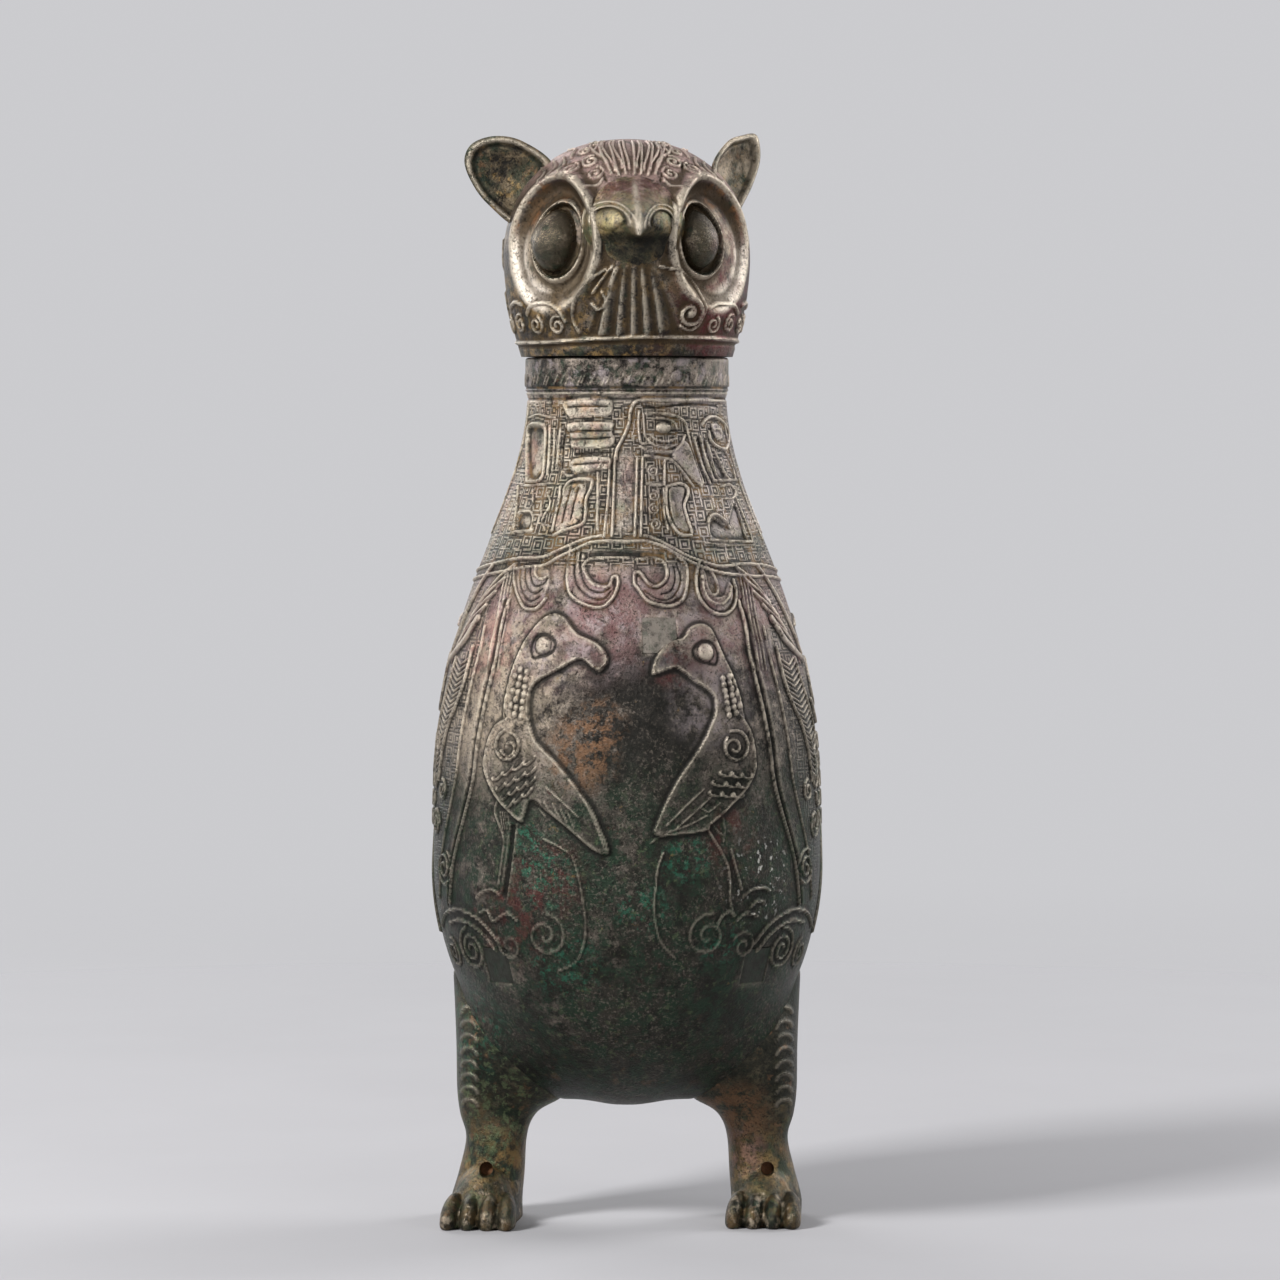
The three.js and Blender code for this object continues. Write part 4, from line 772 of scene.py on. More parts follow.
# The plain ground between the frieze's lines is engraved with small square spirals, and so are the flanks
# behind the wings' front edges. The finish draws them where the zone says so.
FLANK_FOOT_Z = 84.0
FLANK_TOP_Z = 212.0
neck_frieze()
frieze = ramp((wall.z - FRIEZE_FOOT_Z) / 4) * ramp((FRIEZE_TOP_Z - wall.z) / 2)
plain = ramp(1 - blurred(wall.lines + wall.grooves, 1) / 0.25) * ramp(1 - np.abs(wall.ground) / 0.3)
engraved = frieze[:, None] * plain
hanging_curls()
breast_birds()
wing(1, 0)
wing(-1, 3)
back_feathers()
around = np.abs((np.arange(COLUMNS) * 360 / COLUMNS + 180) % 360 - 180)[None, :]
front = np.interp(wall.z, *np.array(sorted((z, azimuth) for azimuth, z in WING_FRONT)).T)[:, None] + 12
flank = ramp((wall.z - FLANK_FOOT_Z) / 6) * ramp((FLANK_TOP_Z - wall.z) / 4)
plain = ramp(1 - blurred(wall.lines + wall.grooves, 1) / 0.25)
wall.zones["engraved"] = np.maximum(engraved, 0.7 * flank[:, None] * ramp((around - front) / 2) * plain)
wall.ground += 0.10 * uneven(wall.ground.shape, 14, 1) + 0.05 * uneven(wall.ground.shape, 3, 2)
chaplet_beds()

# The wall is shown as six bands, one above the other. Each is closed, and no seam shows between them.
edges = [0, *[int(np.argmin(np.abs(wall.z - top))) for top in BAND_TOPS], len(wall.z) - 1]
names = ("vessel_base", "vessel_belly", "vessel_wing", "vessel_breast", "vessel_shoulder", "vessel_neck")
bands = []
for name, first, last in zip(names, edges, edges[1:]):
    low, high = wall.z[first], wall.z[last]
    inner_low = low if first else BELLY_BOTTOM_Z + WALL
    inner_z = np.linspace(min(high, NECK_TOP_Z), inner_low, 3 + round((high - inner_low) / INNER_ROW))
    if not first:
        inner_z = inner_low + (high - inner_low) * np.linspace(1, 0, len(inner_z)) ** 2
    inside = [(float(vessel_radius(z, WALL)), float(z)) for z in inner_z]
    if high > NECK_TOP_Z:
        inside = [(MOUTH_RADIUS + LIP_ROUNDING, MOUTH_Z), (MOUTH_RADIUS, MOUTH_Z - LIP_ROUNDING), *inside]
    if not first:
        inside[-1] = (0, inner_low)
    bands.append(turned_wall(name, wall, first, last, inside))


# The finish is bronze under the patina of a long burial. The shader works it out from noise, from what each
# point of the mesh says of ridges and hollows, and from patches at places in millimetres.
# Part of the finish is painted light: the ridges carry a painted highlight besides their wear, and some
# patches are painted highlights and painted shade.
class Value:
    """A number or colour in a shader; arithmetic on it adds the nodes that work it out."""

    def __init__(self, paint, socket):
        self.paint = paint
        self.socket = socket

    def sum(self, operation, first, second):
        return self.paint.node("ShaderNodeMath", {"operation": operation}, {0: first, 1: second})

    def __add__(self, other):
        return self.sum("ADD", self, other)

    def __radd__(self, other):
        return self.sum("ADD", other, self)

    def __sub__(self, other):
        return self.sum("SUBTRACT", self, other)

    def __rsub__(self, other):
        return self.sum("SUBTRACT", other, self)

    def __mul__(self, other):
        return self.sum("MULTIPLY", self, other)

    def __rmul__(self, other):
        return self.sum("MULTIPLY", other, self)


class Paint:
    """A material, with one way to add a node to it."""

    def __init__(self, name):
        self.material = bpy.data.materials.new(name)
        self.material.use_nodes = True
        self.tree = self.material.node_tree
        self.tree.nodes.clear()
        self.place = self.node("ShaderNodeTexCoord", output="Object")

    def node(self, kind, settings=None, inputs=None, output=0):
        made = self.tree.nodes.new(kind)
        for key, value in (settings or {}).items():
            setattr(made, key, value)
        for key, value in (inputs or {}).items():
            if isinstance(value, Value):
                self.tree.links.new(value.socket, made.inputs[key])
            else:
                made.inputs[key].default_value = value
        return Value(self, made.outputs[output])

    def noise(self, size, seed=0, detail=6.0, rough=0.62, place=None):
        """Cloudy noise with features of a size in millimetres."""
        moved = self.node("ShaderNodeVectorMath", {"operation": "ADD"},
                          {0: place or self.place, 1: (0.37 * seed, 0.53 * seed, 0.71 * seed)})
        return self.node("ShaderNodeTexNoise", {"noise_dimensions": "3D"},
                         {"Vector": moved, "Scale": 1 / (size * MM), "Detail": detail, "Roughness": rough})

    def step(self, value, low, high):
        """0 below low, 1 above high, and smooth between them."""
        return self.node("ShaderNodeMapRange", {"interpolation_type": "SMOOTHSTEP"},
                         {"Value": value, "From Min": low, "From Max": high, "To Min": 0.0, "To Max": 1.0})

    def patches(self, size, low, high, seed=0, detail=6.0, rough=0.62):
        return self.step(self.noise(size, seed, detail, rough), low, high)

    def axis(self, name):
        return self.node("ShaderNodeSeparateXYZ", {}, {0: self.place}, output=name)

    def above(self, z, soft):
        return self.step(self.axis("Z"), (z - soft) * MM, (z + soft) * MM)

    def spot(self, centre, reach, soft=0.5):
        """1 inside a ball about a place in millimetres, fading out over its rim."""
        away = self.node("ShaderNodeVectorMath", {"operation": "DISTANCE"},
                         {0: self.place, 1: tuple(c * MM for c in centre)}, output="Value")
        return 1 - self.step(away, reach * (1 - soft) * MM, reach * (1 + soft) * MM)

    def engraved(self, radius, cell, pitch):
        """Square rings about scattered centres, cut side by side round a turned form."""
        turn = self.node("ShaderNodeMath", {"operation": "ARCTAN2"},
                         {0: self.axis("X"), 1: self.axis("Y") * -1})
        flat = self.node("ShaderNodeCombineXYZ", {}, {"X": turn * radius, "Y": self.axis("Z") * (1 / MM)})
        rings = self.node("ShaderNodeTexVoronoi", {"voronoi_dimensions": "2D", "distance": "CHEBYCHEV"},
                          {"Vector": flat, "Scale": 1 / cell, "Randomness": 0.4}, output="Distance")
        wave = self.node("ShaderNodeMath", {"operation": "SINE"}, {0: rings * (2 * math.pi * cell / pitch)})
        return self.step(wave, -0.5, 0.6)

    def mark(self, name):
        return self.node("ShaderNodeAttribute", {"attribute_name": name}, output="Fac")

    def blend(self, first, second, share):
        keys = {"Factor": share, "A": first, "B": second}
        made = self.tree.nodes.new("ShaderNodeMix")
        made.data_type = "RGBA"
        for socket in made.inputs:
            if socket.enabled and socket.name in keys:
                value = keys[socket.name]
                if isinstance(value, Value):
                    self.tree.links.new(value.socket, socket)
                else:
                    socket.default_value = value
        return Value(self, next(s for s in made.outputs if s.enabled))

    def finish(self, colour, roughness, metallic, bump, depth, coat=0.0):
        normal = self.node("ShaderNodeBump", {}, {"Height": bump, "Distance": depth * MM, "Strength": 1.0})
        surface = self.node("ShaderNodeBsdfPrincipled", {}, {
            "Base Color": colour, "Roughness": roughness, "Metallic": metallic, "Normal": normal,
            "Specular IOR Level": 0.5, "Coat Weight": coat, "Coat Roughness": 0.25})
        end = self.tree.nodes.new("ShaderNodeOutputMaterial")
        self.tree.links.new(surface.socket, end.inputs["Surface"])
        return self.material


def shade(red, green, blue):
    """A colour given in 0 to 255, as the linear values that a shader takes."""
    shares = [channel / 255 for channel in (red, green, blue)]
    linear = [share / 12.92 if share <= 0.04045 else ((share + 0.055) / 1.055) ** 2.4 for share in shares]
    return (*linear, 1.0)


def coat(obj, material):
    """Gives an object this material and no other."""
    obj.data.materials.clear()
    obj.data.materials.append(material)


DARK = shade(29, 25, 21)
LIGHT = shade(146, 134, 122)
PALE = shade(188, 172, 150)
OCHRE = shade(156, 126, 78)
SOIL = shade(112, 88, 56)
PIT = shade(26, 25, 21)
# A near-white for worn metal on the ridges, which also serves as a painted highlight.
WORN_AND_SHEEN = shade(208, 196, 176)
LILAC = shade(164, 152, 152)
SKIN = shade(176, 134, 122)
CHALK = shade(206, 204, 196)
RUST = shade(116, 86, 62)
MALACHITE = shade(44, 98, 76)
SAGE = shade(92, 104, 74)
DEEP_GREEN = shade(36, 54, 40)
BLACK_GREEN = shade(34, 35, 28)
CUPRITE = shade(88, 42, 40)
PURPLE = shade(128, 98, 96)


def patina(name, dark, light, zones, worn_and_sheen, soil, seed=0, shine=lambda p: 0.0, engraving=None):
    """Bronze under its patina: mottled and pitted, soil in the hollows, and bright worn metal with a painted
    highlight on the ridges.
    """
    p = Paint(name)
    broad = p.noise(26, seed + 1)
    fine = p.noise(4.5, seed + 2, 9.0, 0.72)
    grain = p.noise(0.8, seed + 3, 5.0, 0.66)
    colour = p.blend(dark, light, p.step(broad * 0.3 + fine * 0.5 + grain * 0.2, 0.452, 0.548))
    for tint, share in zones(p):
        colour = p.blend(colour, tint, share)
    colour = p.blend(colour, PIT, p.step(grain, 0.5, 0.6) * p.step(fine, 0.4, 0.6) * 0.75)
    specks = p.patches(1.1, 0.52, 0.64, seed + 6, 5.0, 0.7)
    colour = p.blend(colour, light, specks * p.step(broad, 0.36, 0.6) * 0.35)
    ridge, hollow = p.mark("ridge"), p.mark("hollow")
    bump = fine * 0.5 + grain * 0.6
    if engraving:
        place, cut = p.mark("engraved"), p.engraved(*engraving)
        hollow = hollow + place * (1 - cut) * 0.8
        ridge = ridge + place * cut * 0.45
        bump = bump + place * cut * 0.55
    tint, share = soil(p)
    colour = p.blend(colour, tint, p.step(hollow, 0, 1) * share)
    # The ridges are lightened with the pale worn colour: wear, and partly a painted highlight.
    tint, share = worn_and_sheen(p)
    broken = p.step(grain * 0.4 + fine * 0.6, 0.36, 0.54)
    colour = p.blend(colour, tint, p.step(ridge, 0, 1) * share * broken)
    pits = p.patches(0.9, 0.6, 0.68, seed + 4, 3.0)
    colour = p.blend(colour, PIT, pits * 0.6)
    colour = p.blend(colour, PIT, p.patches(2.2, 0.58, 0.7, seed + 5, 8.0, 0.75) * 0.5)
    roughness = 0.2 + 0.3 * fine + 0.16 * grain + 0.14 * p.mark("hollow") - 0.06 * p.mark("ridge") - shine(p)
    return p.finish(colour, roughness, 0.9 - 0.35 * fine, bump - pits * 0.4, 0.6)


RUST_SPOTS = ((-15, 157, 11), (-9, 166, 8))
CUPRITE_SPOTS = ((-9, 204, 10), (-26, 117, 12), (-38, 102, 13), (13, 186, 7), (33, 130, 9))
MALACHITE_SPOTS = ((-26, 118, 10), (-20, 89, 11), (19, 124, 8), (5, 108, 8), (-33, 128, 7), (30, 96, 7),
                   (-45, 70, 9))


def on_front(x, z):
    """The place on the front of the vessel at a distance beside its middle and a height."""
    return x, -math.sqrt(float(vessel_radius(z)) ** 2 - x * x), z


def vessel_zones(p):
    """Pale and ochre on the neck, purple on the chest, rust between the birds, green-black below; painted
    light on the owl's right side of the neck and chest, and painted shade down the middle of the breast.
    """
    neck = p.above(216, 9) * (1 - p.above(271, 1))
    low = 1 - p.above(146, 20)
    chest = p.above(180, 9) * (1 - p.above(216, 9))
    right = 1 - p.step(p.axis("X"), -0.03, 0.03)
    zones = [
        # Painted light: pale patches make the neck lighter on the owl's right side.
        (WORN_AND_SHEEN, neck * (0.3 + 0.7 * right) * p.patches(5, 0.42, 0.54, 21, 9.0, 0.7) * 0.75),
        (SAGE, neck * p.patches(8, 0.52, 0.64, 22, 8.0) * 0.5),
        (OCHRE, neck * (0.2 + 0.8 * right) * p.patches(6, 0.52, 0.64, 23, 8.0) * 0.7),
        (LILAC, neck * (1 - right) * p.patches(9, 0.36, 0.56, 39, 8.0) * 0.6),
        (DEEP_GREEN, p.above(217, 4) * (1 - p.above(226, 4)) * p.patches(5, 0.36, 0.56, 24, 8.0) * 0.9),
        (DEEP_GREEN, neck * right * p.patches(14, 0.52, 0.66, 37) * 0.6),
        (SKIN, neck * right * p.patches(8, 0.48, 0.64, 46, 8.0) * 0.5),
        (PIT, neck * p.patches(4, 0.53, 0.64, 47, 9.0, 0.72) * 0.75),
        (PIT, chest * p.patches(4, 0.54, 0.64, 49, 9.0, 0.72) * 0.7),
        (PURPLE, chest * p.patches(16, 0.4, 0.58, 25) * 0.7),
        (LILAC, chest * p.patches(7, 0.46, 0.62, 40, 8.0) * 0.5),
        # Painted light: pale patches lighten the chest on the owl's right side.
        (PALE, p.spot((-44, -34, 176), 32) * p.patches(4, 0.44, 0.56, 48, 9.0, 0.7) * 0.6),
        (PIT, p.spot((56, -30, 160), 34) * p.patches(5, 0.42, 0.56, 50, 9.0, 0.7) * 0.7),
        # Painted shade: dark patches down the middle of the breast.
        (PIT, p.spot((7, -60, 164), 25) * p.patches(6, 0.28, 0.46, 27, 9.0, 0.7) * 0.95),
        (DARK, p.spot((-20, -56, 174), 18) * p.patches(5, 0.42, 0.56, 26, 9.0, 0.7) * 0.6),
        (LILAC, p.spot((26, -52, 172), 12) * p.patches(6, 0.4, 0.6, 42, 8.0) * 0.5),
        # Painted light: pale patches lighten the bird on the owl's right side of the chest.
        (PALE, p.spot((-40, -42, 170), 16) * p.patches(5, 0.44, 0.56, 52, 9.0, 0.7) * 0.5),
        (BLACK_GREEN, p.spot((60, -22, 132), 34) * p.patches(9, 0.34, 0.54, 53, 8.0) * 0.7),
        (DEEP_GREEN, p.above(271.5, 1) * p.patches(4, 0.48, 0.6, 54, 9.0, 0.7) * 0.7),
        (LILAC, p.above(271.5, 1) * p.patches(6, 0.52, 0.64, 55, 8.0) * 0.6),
        (BLACK_GREEN, low * p.patches(22, 0.24, 0.46, 29) * 0.92),
        (DEEP_GREEN, low * p.patches(6, 0.44, 0.58, 30, 9.0, 0.7) * 0.9),
        (PIT, low * p.patches(4, 0.52, 0.62, 51, 9.0, 0.72) * 0.8),
        (SAGE, low * p.patches(3, 0.56, 0.64, 43, 9.0, 0.72) * 0.45),
        (RUST, (1 - p.above(64, 16)) * p.patches(8, 0.58, 0.7, 31, 8.0) * 0.45),
        (CUPRITE, p.patches(7, 0.62, 0.7, 32, 9.0, 0.72) * 0.5),
        (OCHRE, p.patches(4, 0.64, 0.72, 36, 8.0, 0.7) * 0.5),
        (SKIN, p.spot((-43, -34, 190), 12) * p.patches(5, 0.42, 0.6, 44, 8.0) * 0.6),
        (CHALK, p.spot((42, -45, 116), 13) * p.patches(2.2, 0.6, 0.64, 45, 5.0) * 0.8),
    ]
    for x, z, reach in RUST_SPOTS:
        zones.append((RUST, p.spot((x, -60, z), reach) * p.patches(4, 0.46, 0.58, 28, 9.0, 0.7) * 0.75))
    for x, z, reach in CUPRITE_SPOTS:
        zones.append((CUPRITE, p.spot(on_front(x, z), reach) * p.patches(5, 0.44, 0.6, 33, 8.0) * 0.6))
    for x, z, reach in MALACHITE_SPOTS:
        crust = p.patches(2.6, 0.5, 0.6, 35, 9.0, 0.72)
        zones.append((MALACHITE, p.spot(on_front(x, z), reach) * crust * 0.8))
    return zones


vessel_finish = patina(
    "vessel_patina", DARK, LIGHT, vessel_zones, engraving=(42, 4.2, 1.15),
    # Ridges: wear and a painted highlight, fainter towards the bottom.
    worn_and_sheen=lambda p: (WORN_AND_SHEEN, 0.2 + 0.42 * p.above(150, 50)),
    soil=lambda p: (p.blend(PIT, SOIL, p.above(206, 12) * p.patches(7, 0.48, 0.62, 38)), 0.85))
for band in bands:
    coat(band, vessel_finish)
    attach(band, "vessel")
    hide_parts("vessel_body")

# Chaplets: square spacers of bronze that kept the core in place while the metal was poured, and stayed in it.
# The one on the chest shows as a grey square.
CHAPLET_GREY = shade(134, 126, 116)
CHAPLET_DARK = shade(44, 46, 38)


def spacer(name, tint, seed):
    p = Paint(name)
    mottle = p.noise(3.0, seed, 8.0, 0.7)
    colour = p.blend(tint, DARK, p.step(mottle, 0.46, 0.62) * 0.6)
    colour = p.blend(colour, DEEP_GREEN, p.patches(4, 0.48, 0.62, seed + 2, 8.0) * 0.5)
    colour = p.blend(colour, PIT, p.patches(0.9, 0.58, 0.66, seed + 1) * 0.7)
    return p.finish(colour, 0.4 + 0.3 * mottle, 0.5, mottle, 0.4)


chest_spacer = spacer("chest_spacer", CHAPLET_GREY, 41)
dark_spacer = spacer("dark_spacer", CHAPLET_DARK, 43)
for number in range(2 * CHAPLETS_PER_ROW):
    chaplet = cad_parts[f"vessel_chaplet_{number + 1}"]
    coat(chaplet, dark_spacer if number < CHAPLETS_PER_ROW else chest_spacer)

# The legs are hollow, with the clay core still in them, and were cast on to the belly.
# A small vent over the toes lets the core's steam out. Each foot has four rounded toes.
LEG_SETBACK = 2.0
LEG_AXIS_X = 40.0
LEG_SQUARENESS = 2.6
ANKLE_Z = 27.0
FOOT_WIDTH = 23.0
FOOT_SPREAD = 46.0
FOOT_TURNS_ABOUT_X = 43.0
TOE_COUNT = 4
TOE_REACH = 10.0
TOE_RISE = 8.6
TOE_CENTRE_Z = 2.6
TOE_AHEAD = 1.5
TOE_FAN = 5.0
TOE_OVERLAP = 1.24
SOLE_LIFT = 0.02
VENT_RADIUS = 2.2
VENT_Z = 18.0
LEG_WALL = 3.6
LEG_SMOOTH_BELOW_ANGLE = 50
CASTING_GAP = 0.3
LEG_COLUMNS = 112
VOXEL = 0.5
BLEND = 18.0
SWELL_TOP_Z = 82.0
SWELL_RISE = 22.0
VENT_DEPTH = 22.0
INSTEP = (11.3, 17.0, 20.0)
INSTEP_BEHIND_TOES = 10.0
SUNK_IN_WALL = 2.6
ARC_WIDTH = 0.6
ARC_RISE = 0.7
THIGH_ARCS = [(51.4, z, 2.6, 0.4) for z in (38, 42.4, 46.8, 51.2, 55.6, 60, 64.4, 68.8)]
LEGS = {"left_leg": dict(side=1, front=16.0, swing=-4.5), "right_leg": dict(side=-1, front=20.0, swing=-6.0)}


def leg_stations(front):
    """Inner face, outer face, front and back of the leg at heights above the table."""
    sole = (34.5, 57.5, front, 15.0)
    ankle = (33.0, 53.0, 12.5, 12.5)
    instep = ((sole[0] + ankle[0]) / 2, (sole[1] + ankle[1]) / 2, 13.5, 13.5)
    return {0.0: sole, 7.0: sole, 16.0: instep, 27.0: ankle, 35.0: (30.5, 55.0, 12.5, 12.5),
            44.0: (24.0, 56.0, 16.0, 16.0), 60.0: (24.0, 56.0, 20.0, 20.0), 82.0: (24.0, 56.0, 12.0, 12.0)}


def outside_of(points, radius_at, sunk):
    """Moves points that lie deep in a turned wall out to a depth under its surface."""
    radius = np.hypot(points[:, 0], points[:, 1])
    least = radius_at(points[:, 2]) - sunk
    grown = np.where(radius < least, least / np.maximum(radius, SAME_PLACE), 1)
    return points * np.column_stack([grown, grown, np.ones(len(points))])


def leg_faces(front, heights, per_stretch):
    """The four faces of leg_stations in a smooth line through the stations, read at any heights."""
    stations = leg_stations(front)
    return [np.interp(heights, *np.array(flowing(list(zip(stations, face)), per_stretch)).T)
            for face in zip(*stations.values())]


def turned_about_axis(points, degrees):
    cos, sin = math.cos(math.radians(degrees)), math.sin(math.radians(degrees))
    return np.column_stack([points[:, 0] * cos - points[:, 1] * sin, points[:, 0] * sin + points[:, 1] * cos,
                            points[:, 2]])


def swung(points, side, swing):
    """Turns the foot about the leg, fully at the sole and not at all from the ankle up."""
    middle = side * FOOT_TURNS_ABOUT_X
    angle = np.radians(swing) * ramp(1 - points[:, 2] / ANKLE_Z)
    x, y = points[:, 0] - middle, points[:, 1] - LEG_SETBACK
    return np.column_stack([middle + x * np.cos(angle) - y * np.sin(angle),
                            LEG_SETBACK + x * np.sin(angle) + y * np.cos(angle), points[:, 2]])


def squareness(x, y):
    """1 on the rounded square outline of a leg, less inside it and more outside."""
    return (np.abs(x) ** LEG_SQUARENESS + np.abs(y) ** LEG_SQUARENESS) ** (1 / LEG_SQUARENESS)


def leg_column(name, side, front, swing):
    """A leg without its toes: rounded square rings, one above the other."""
    z = np.array(flowing([(height, face) for height, (face, *_) in leg_stations(front).items()], 10))[:, 0]
    inner, outer, ahead, behind = [face[:, None] for face in leg_faces(front, z, 10)]
    angle = np.arange(LEG_COLUMNS) * 2 * np.pi / LEG_COLUMNS
    reach = 1 / squareness(np.cos(angle), np.sin(angle))
    x = side * (inner + outer) / 2 + (reach * np.cos(angle))[None, :] * (outer - inner) / 2
    y = LEG_SETBACK + (behind - ahead) / 2 + (reach * np.sin(angle))[None, :] * (ahead + behind) / 2
    points = np.stack([x, y, np.broadcast_to(z[:, None], x.shape)], axis=2).reshape(-1, 3)
    points = swung(points, side, swing)
    faces = []
    for low in range(0, len(points) - LEG_COLUMNS, LEG_COLUMNS):
        high = low + LEG_COLUMNS
        for j in range(LEG_COLUMNS):
            k = (j + 1) % LEG_COLUMNS
            faces.append((low + j, low + k, high + k, high + j))
    faces.append(tuple(range(LEG_COLUMNS))[::-1])
    faces.append(tuple(range(len(points) - LEG_COLUMNS, len(points))))
    return new_object(name, [tuple(p) for p in points * MM], [], faces)


def unit_ball(segments, rings):
    bpy.ops.mesh.primitive_uv_sphere_add(segments=segments, ring_count=rings, radius=1)
    return bpy.context.object


def toe_points(unit, place, side, front, swing):
    pitch = FOOT_WIDTH / TOE_COUNT
    toe = unit * np.array([pitch * TOE_OVERLAP / 2, TOE_REACH, TOE_RISE])
    toe = turned_about_axis(toe, place * TOE_FAN)
    toe += (side * FOOT_SPREAD + place * pitch, LEG_SETBACK - front - TOE_AHEAD, TOE_CENTRE_Z)
    return swung(toe, side, swing)


def thigh_arcs(points, side):
    """1 on the small feathers cast on the front of the thigh, and 0 off them."""
    raised = np.zeros(len(points))
    for x, z, reach, foot in THIGH_ARCS:
        across, up = side * points[:, 0] - x, points[:, 2] - z
        arc = np.exp(-(((np.hypot(across, up) - reach) / ARC_WIDTH) ** 2)) * ramp((up + foot) / 0.8)
        raised = np.maximum(raised, arc * (points[:, 1] < -6))
    return raised


def from_belly(points):
    """How far points lie outside the belly, and the direction straight away from it."""
    radius = np.hypot(points[:, 0], points[:, 1])
    up = points[:, 2] - BELLY_WIDEST_Z
    normal = np.column_stack([points[:, :2] / BELLY_RADIUS**2, up / BELLY_DEPTH**2])
    size = np.hypot(radius / BELLY_RADIUS, up / BELLY_DEPTH)
    steepness = np.linalg.norm(normal, axis=1)
    return (size - 1) * size / steepness, normal / steepness[:, None]


def fillet(away, own, other):
    """How far a surface moves to flow into another one that lies away from it."""
    near = np.clip(BLEND - np.abs(away), 0, BLEND)
    share = (near / (2 * BLEND))[:, None]
    heading = own * (1 - share) + other * share
    heading /= np.maximum(np.linalg.norm(heading, axis=1), 0.3)[:, None]
    return heading * (near**2 / (4 * BLEND))[:, None]


legs = []
for name, leg in LEGS.items():
    column = leg_column("owl_" + name, **leg)
    pieces = [column]
    for i in range(TOE_COUNT):
        toe = unit_ball(40, 28)
        placed = toe_points(points_of(toe), i - (TOE_COUNT - 1) / 2, **leg)
        placed[:, 2] = np.maximum(placed[:, 2], SOLE_LIFT)
        move_points(toe, placed * MM)
        pieces.append(toe)
    instep = unit_ball(64, 40)
    placed = points_of(instep) * np.array(INSTEP) + (
        leg["side"] * FOOT_SPREAD, LEG_SETBACK - leg["front"] + INSTEP_BEHIND_TOES, 0)
    placed = swung(placed, leg["side"], leg["swing"])
    placed[:, 2] = np.maximum(placed[:, 2], SOLE_LIFT)
    move_points(instep, placed * MM)
    pieces.append(instep)
    active(column)
    for piece in pieces:
        piece.select_set(True)
    bpy.ops.object.join()
    limb = bpy.context.object
    modify(limb, "REMESH", mode="VOXEL", voxel_size=VOXEL * MM)
    modify(limb, "CORRECTIVE_SMOOTH", use_only_smooth=True, iterations=4, factor=0.5)

    points = points_of(limb) / MM
    centre = np.array([leg["side"] * LEG_AXIS_X, LEG_SETBACK])
    out = points[:, :2] - centre
    out /= np.maximum(np.hypot(*out.T), SAME_PLACE)[:, None]
    away, normal = from_belly(points)
    outer = 1 - 0.75 * ramp(leg["side"] * out[:, 0])
    points += fillet(np.maximum(away, 0), np.column_stack([out, 0 * away]), normal) * outer[:, None]
    points = outside_of(points, vessel_radius, SUNK_IN_WALL)
    points[:, 2] = np.maximum(points[:, 2], 0)
    raised = thigh_arcs(points, leg["side"])
    points[:, 1] -= ARC_RISE * raised
    points[:, 0] += leg["side"] * 0.5 * ARC_RISE * raised
    move_points(limb, points * MM)

    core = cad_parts[name + "_core"]
    cutter = core.copy()
    cutter.data = core.data.copy()
    bpy.context.scene.collection.objects.link(cutter)
    closed_up(cutter)
    modify(cutter, "DISPLACE", strength=CASTING_GAP * MM, mid_level=0)
    vent = (leg["side"] * FOOT_SPREAD, LEG_SETBACK - LEG_WALL - VENT_DEPTH / 2, VENT_Z)
    bpy.ops.mesh.primitive_cylinder_add(vertices=48, radius=VENT_RADIUS * MM, depth=VENT_DEPTH * MM,
                                        location=[distance * MM for distance in vent],
                                        rotation=(math.pi / 2, 0, 0))
    drill = bpy.context.object
    for tool in (cutter, drill):
        modify(limb, "BOOLEAN", operation="DIFFERENCE", solver="MANIFOLD", object=tool)
        bpy.data.objects.remove(tool, do_unlink=True)
    mark(limb, "ridge", thigh_arcs(points_of(limb) / MM, leg["side"]))
    mark(limb, "hollow", np.zeros(len(limb.data.vertices)))
    active(limb)
    bpy.ops.object.shade_smooth_by_angle(angle=math.radians(LEG_SMOOTH_BELOW_ANGLE))
    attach(limb, "vessel")
    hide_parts(name)
    legs.append(limb)


# The belly swells a little where it meets each thigh, so that the two castings flow into each other.
for band in bands[:2]:
    points = points_of(band) / MM
    radius = np.hypot(points[:, 0], points[:, 1])
    outside = radius > vessel_radius(points[:, 2]) - WALL / 2
    for leg in LEGS.values():
        inner, outer, ahead, behind = leg_faces(leg["front"], points[:, 2], 60)
        x = (leg["side"] * points[:, 0] - (inner + outer) / 2) / ((outer - inner) / 2)
        y = (points[:, 1] - LEG_SETBACK - (behind - ahead) / 2) / ((ahead + behind) / 2)
        share = 1 - 1 / np.maximum(squareness(x, y), 0.05)
        away = np.hypot(x * (outer - inner) / 2, y * (ahead + behind) / 2) * share
        out = np.column_stack([leg["side"] * x * (outer - inner), y * (ahead + behind), 0 * x])
        out /= np.maximum(np.linalg.norm(out, axis=1), SAME_PLACE)[:, None]
        swell = outside * ramp((SWELL_TOP_Z - points[:, 2]) / SWELL_RISE)
        points += fillet(away, from_belly(points)[1], out) * swell[:, None]
    move_points(band, points * MM)


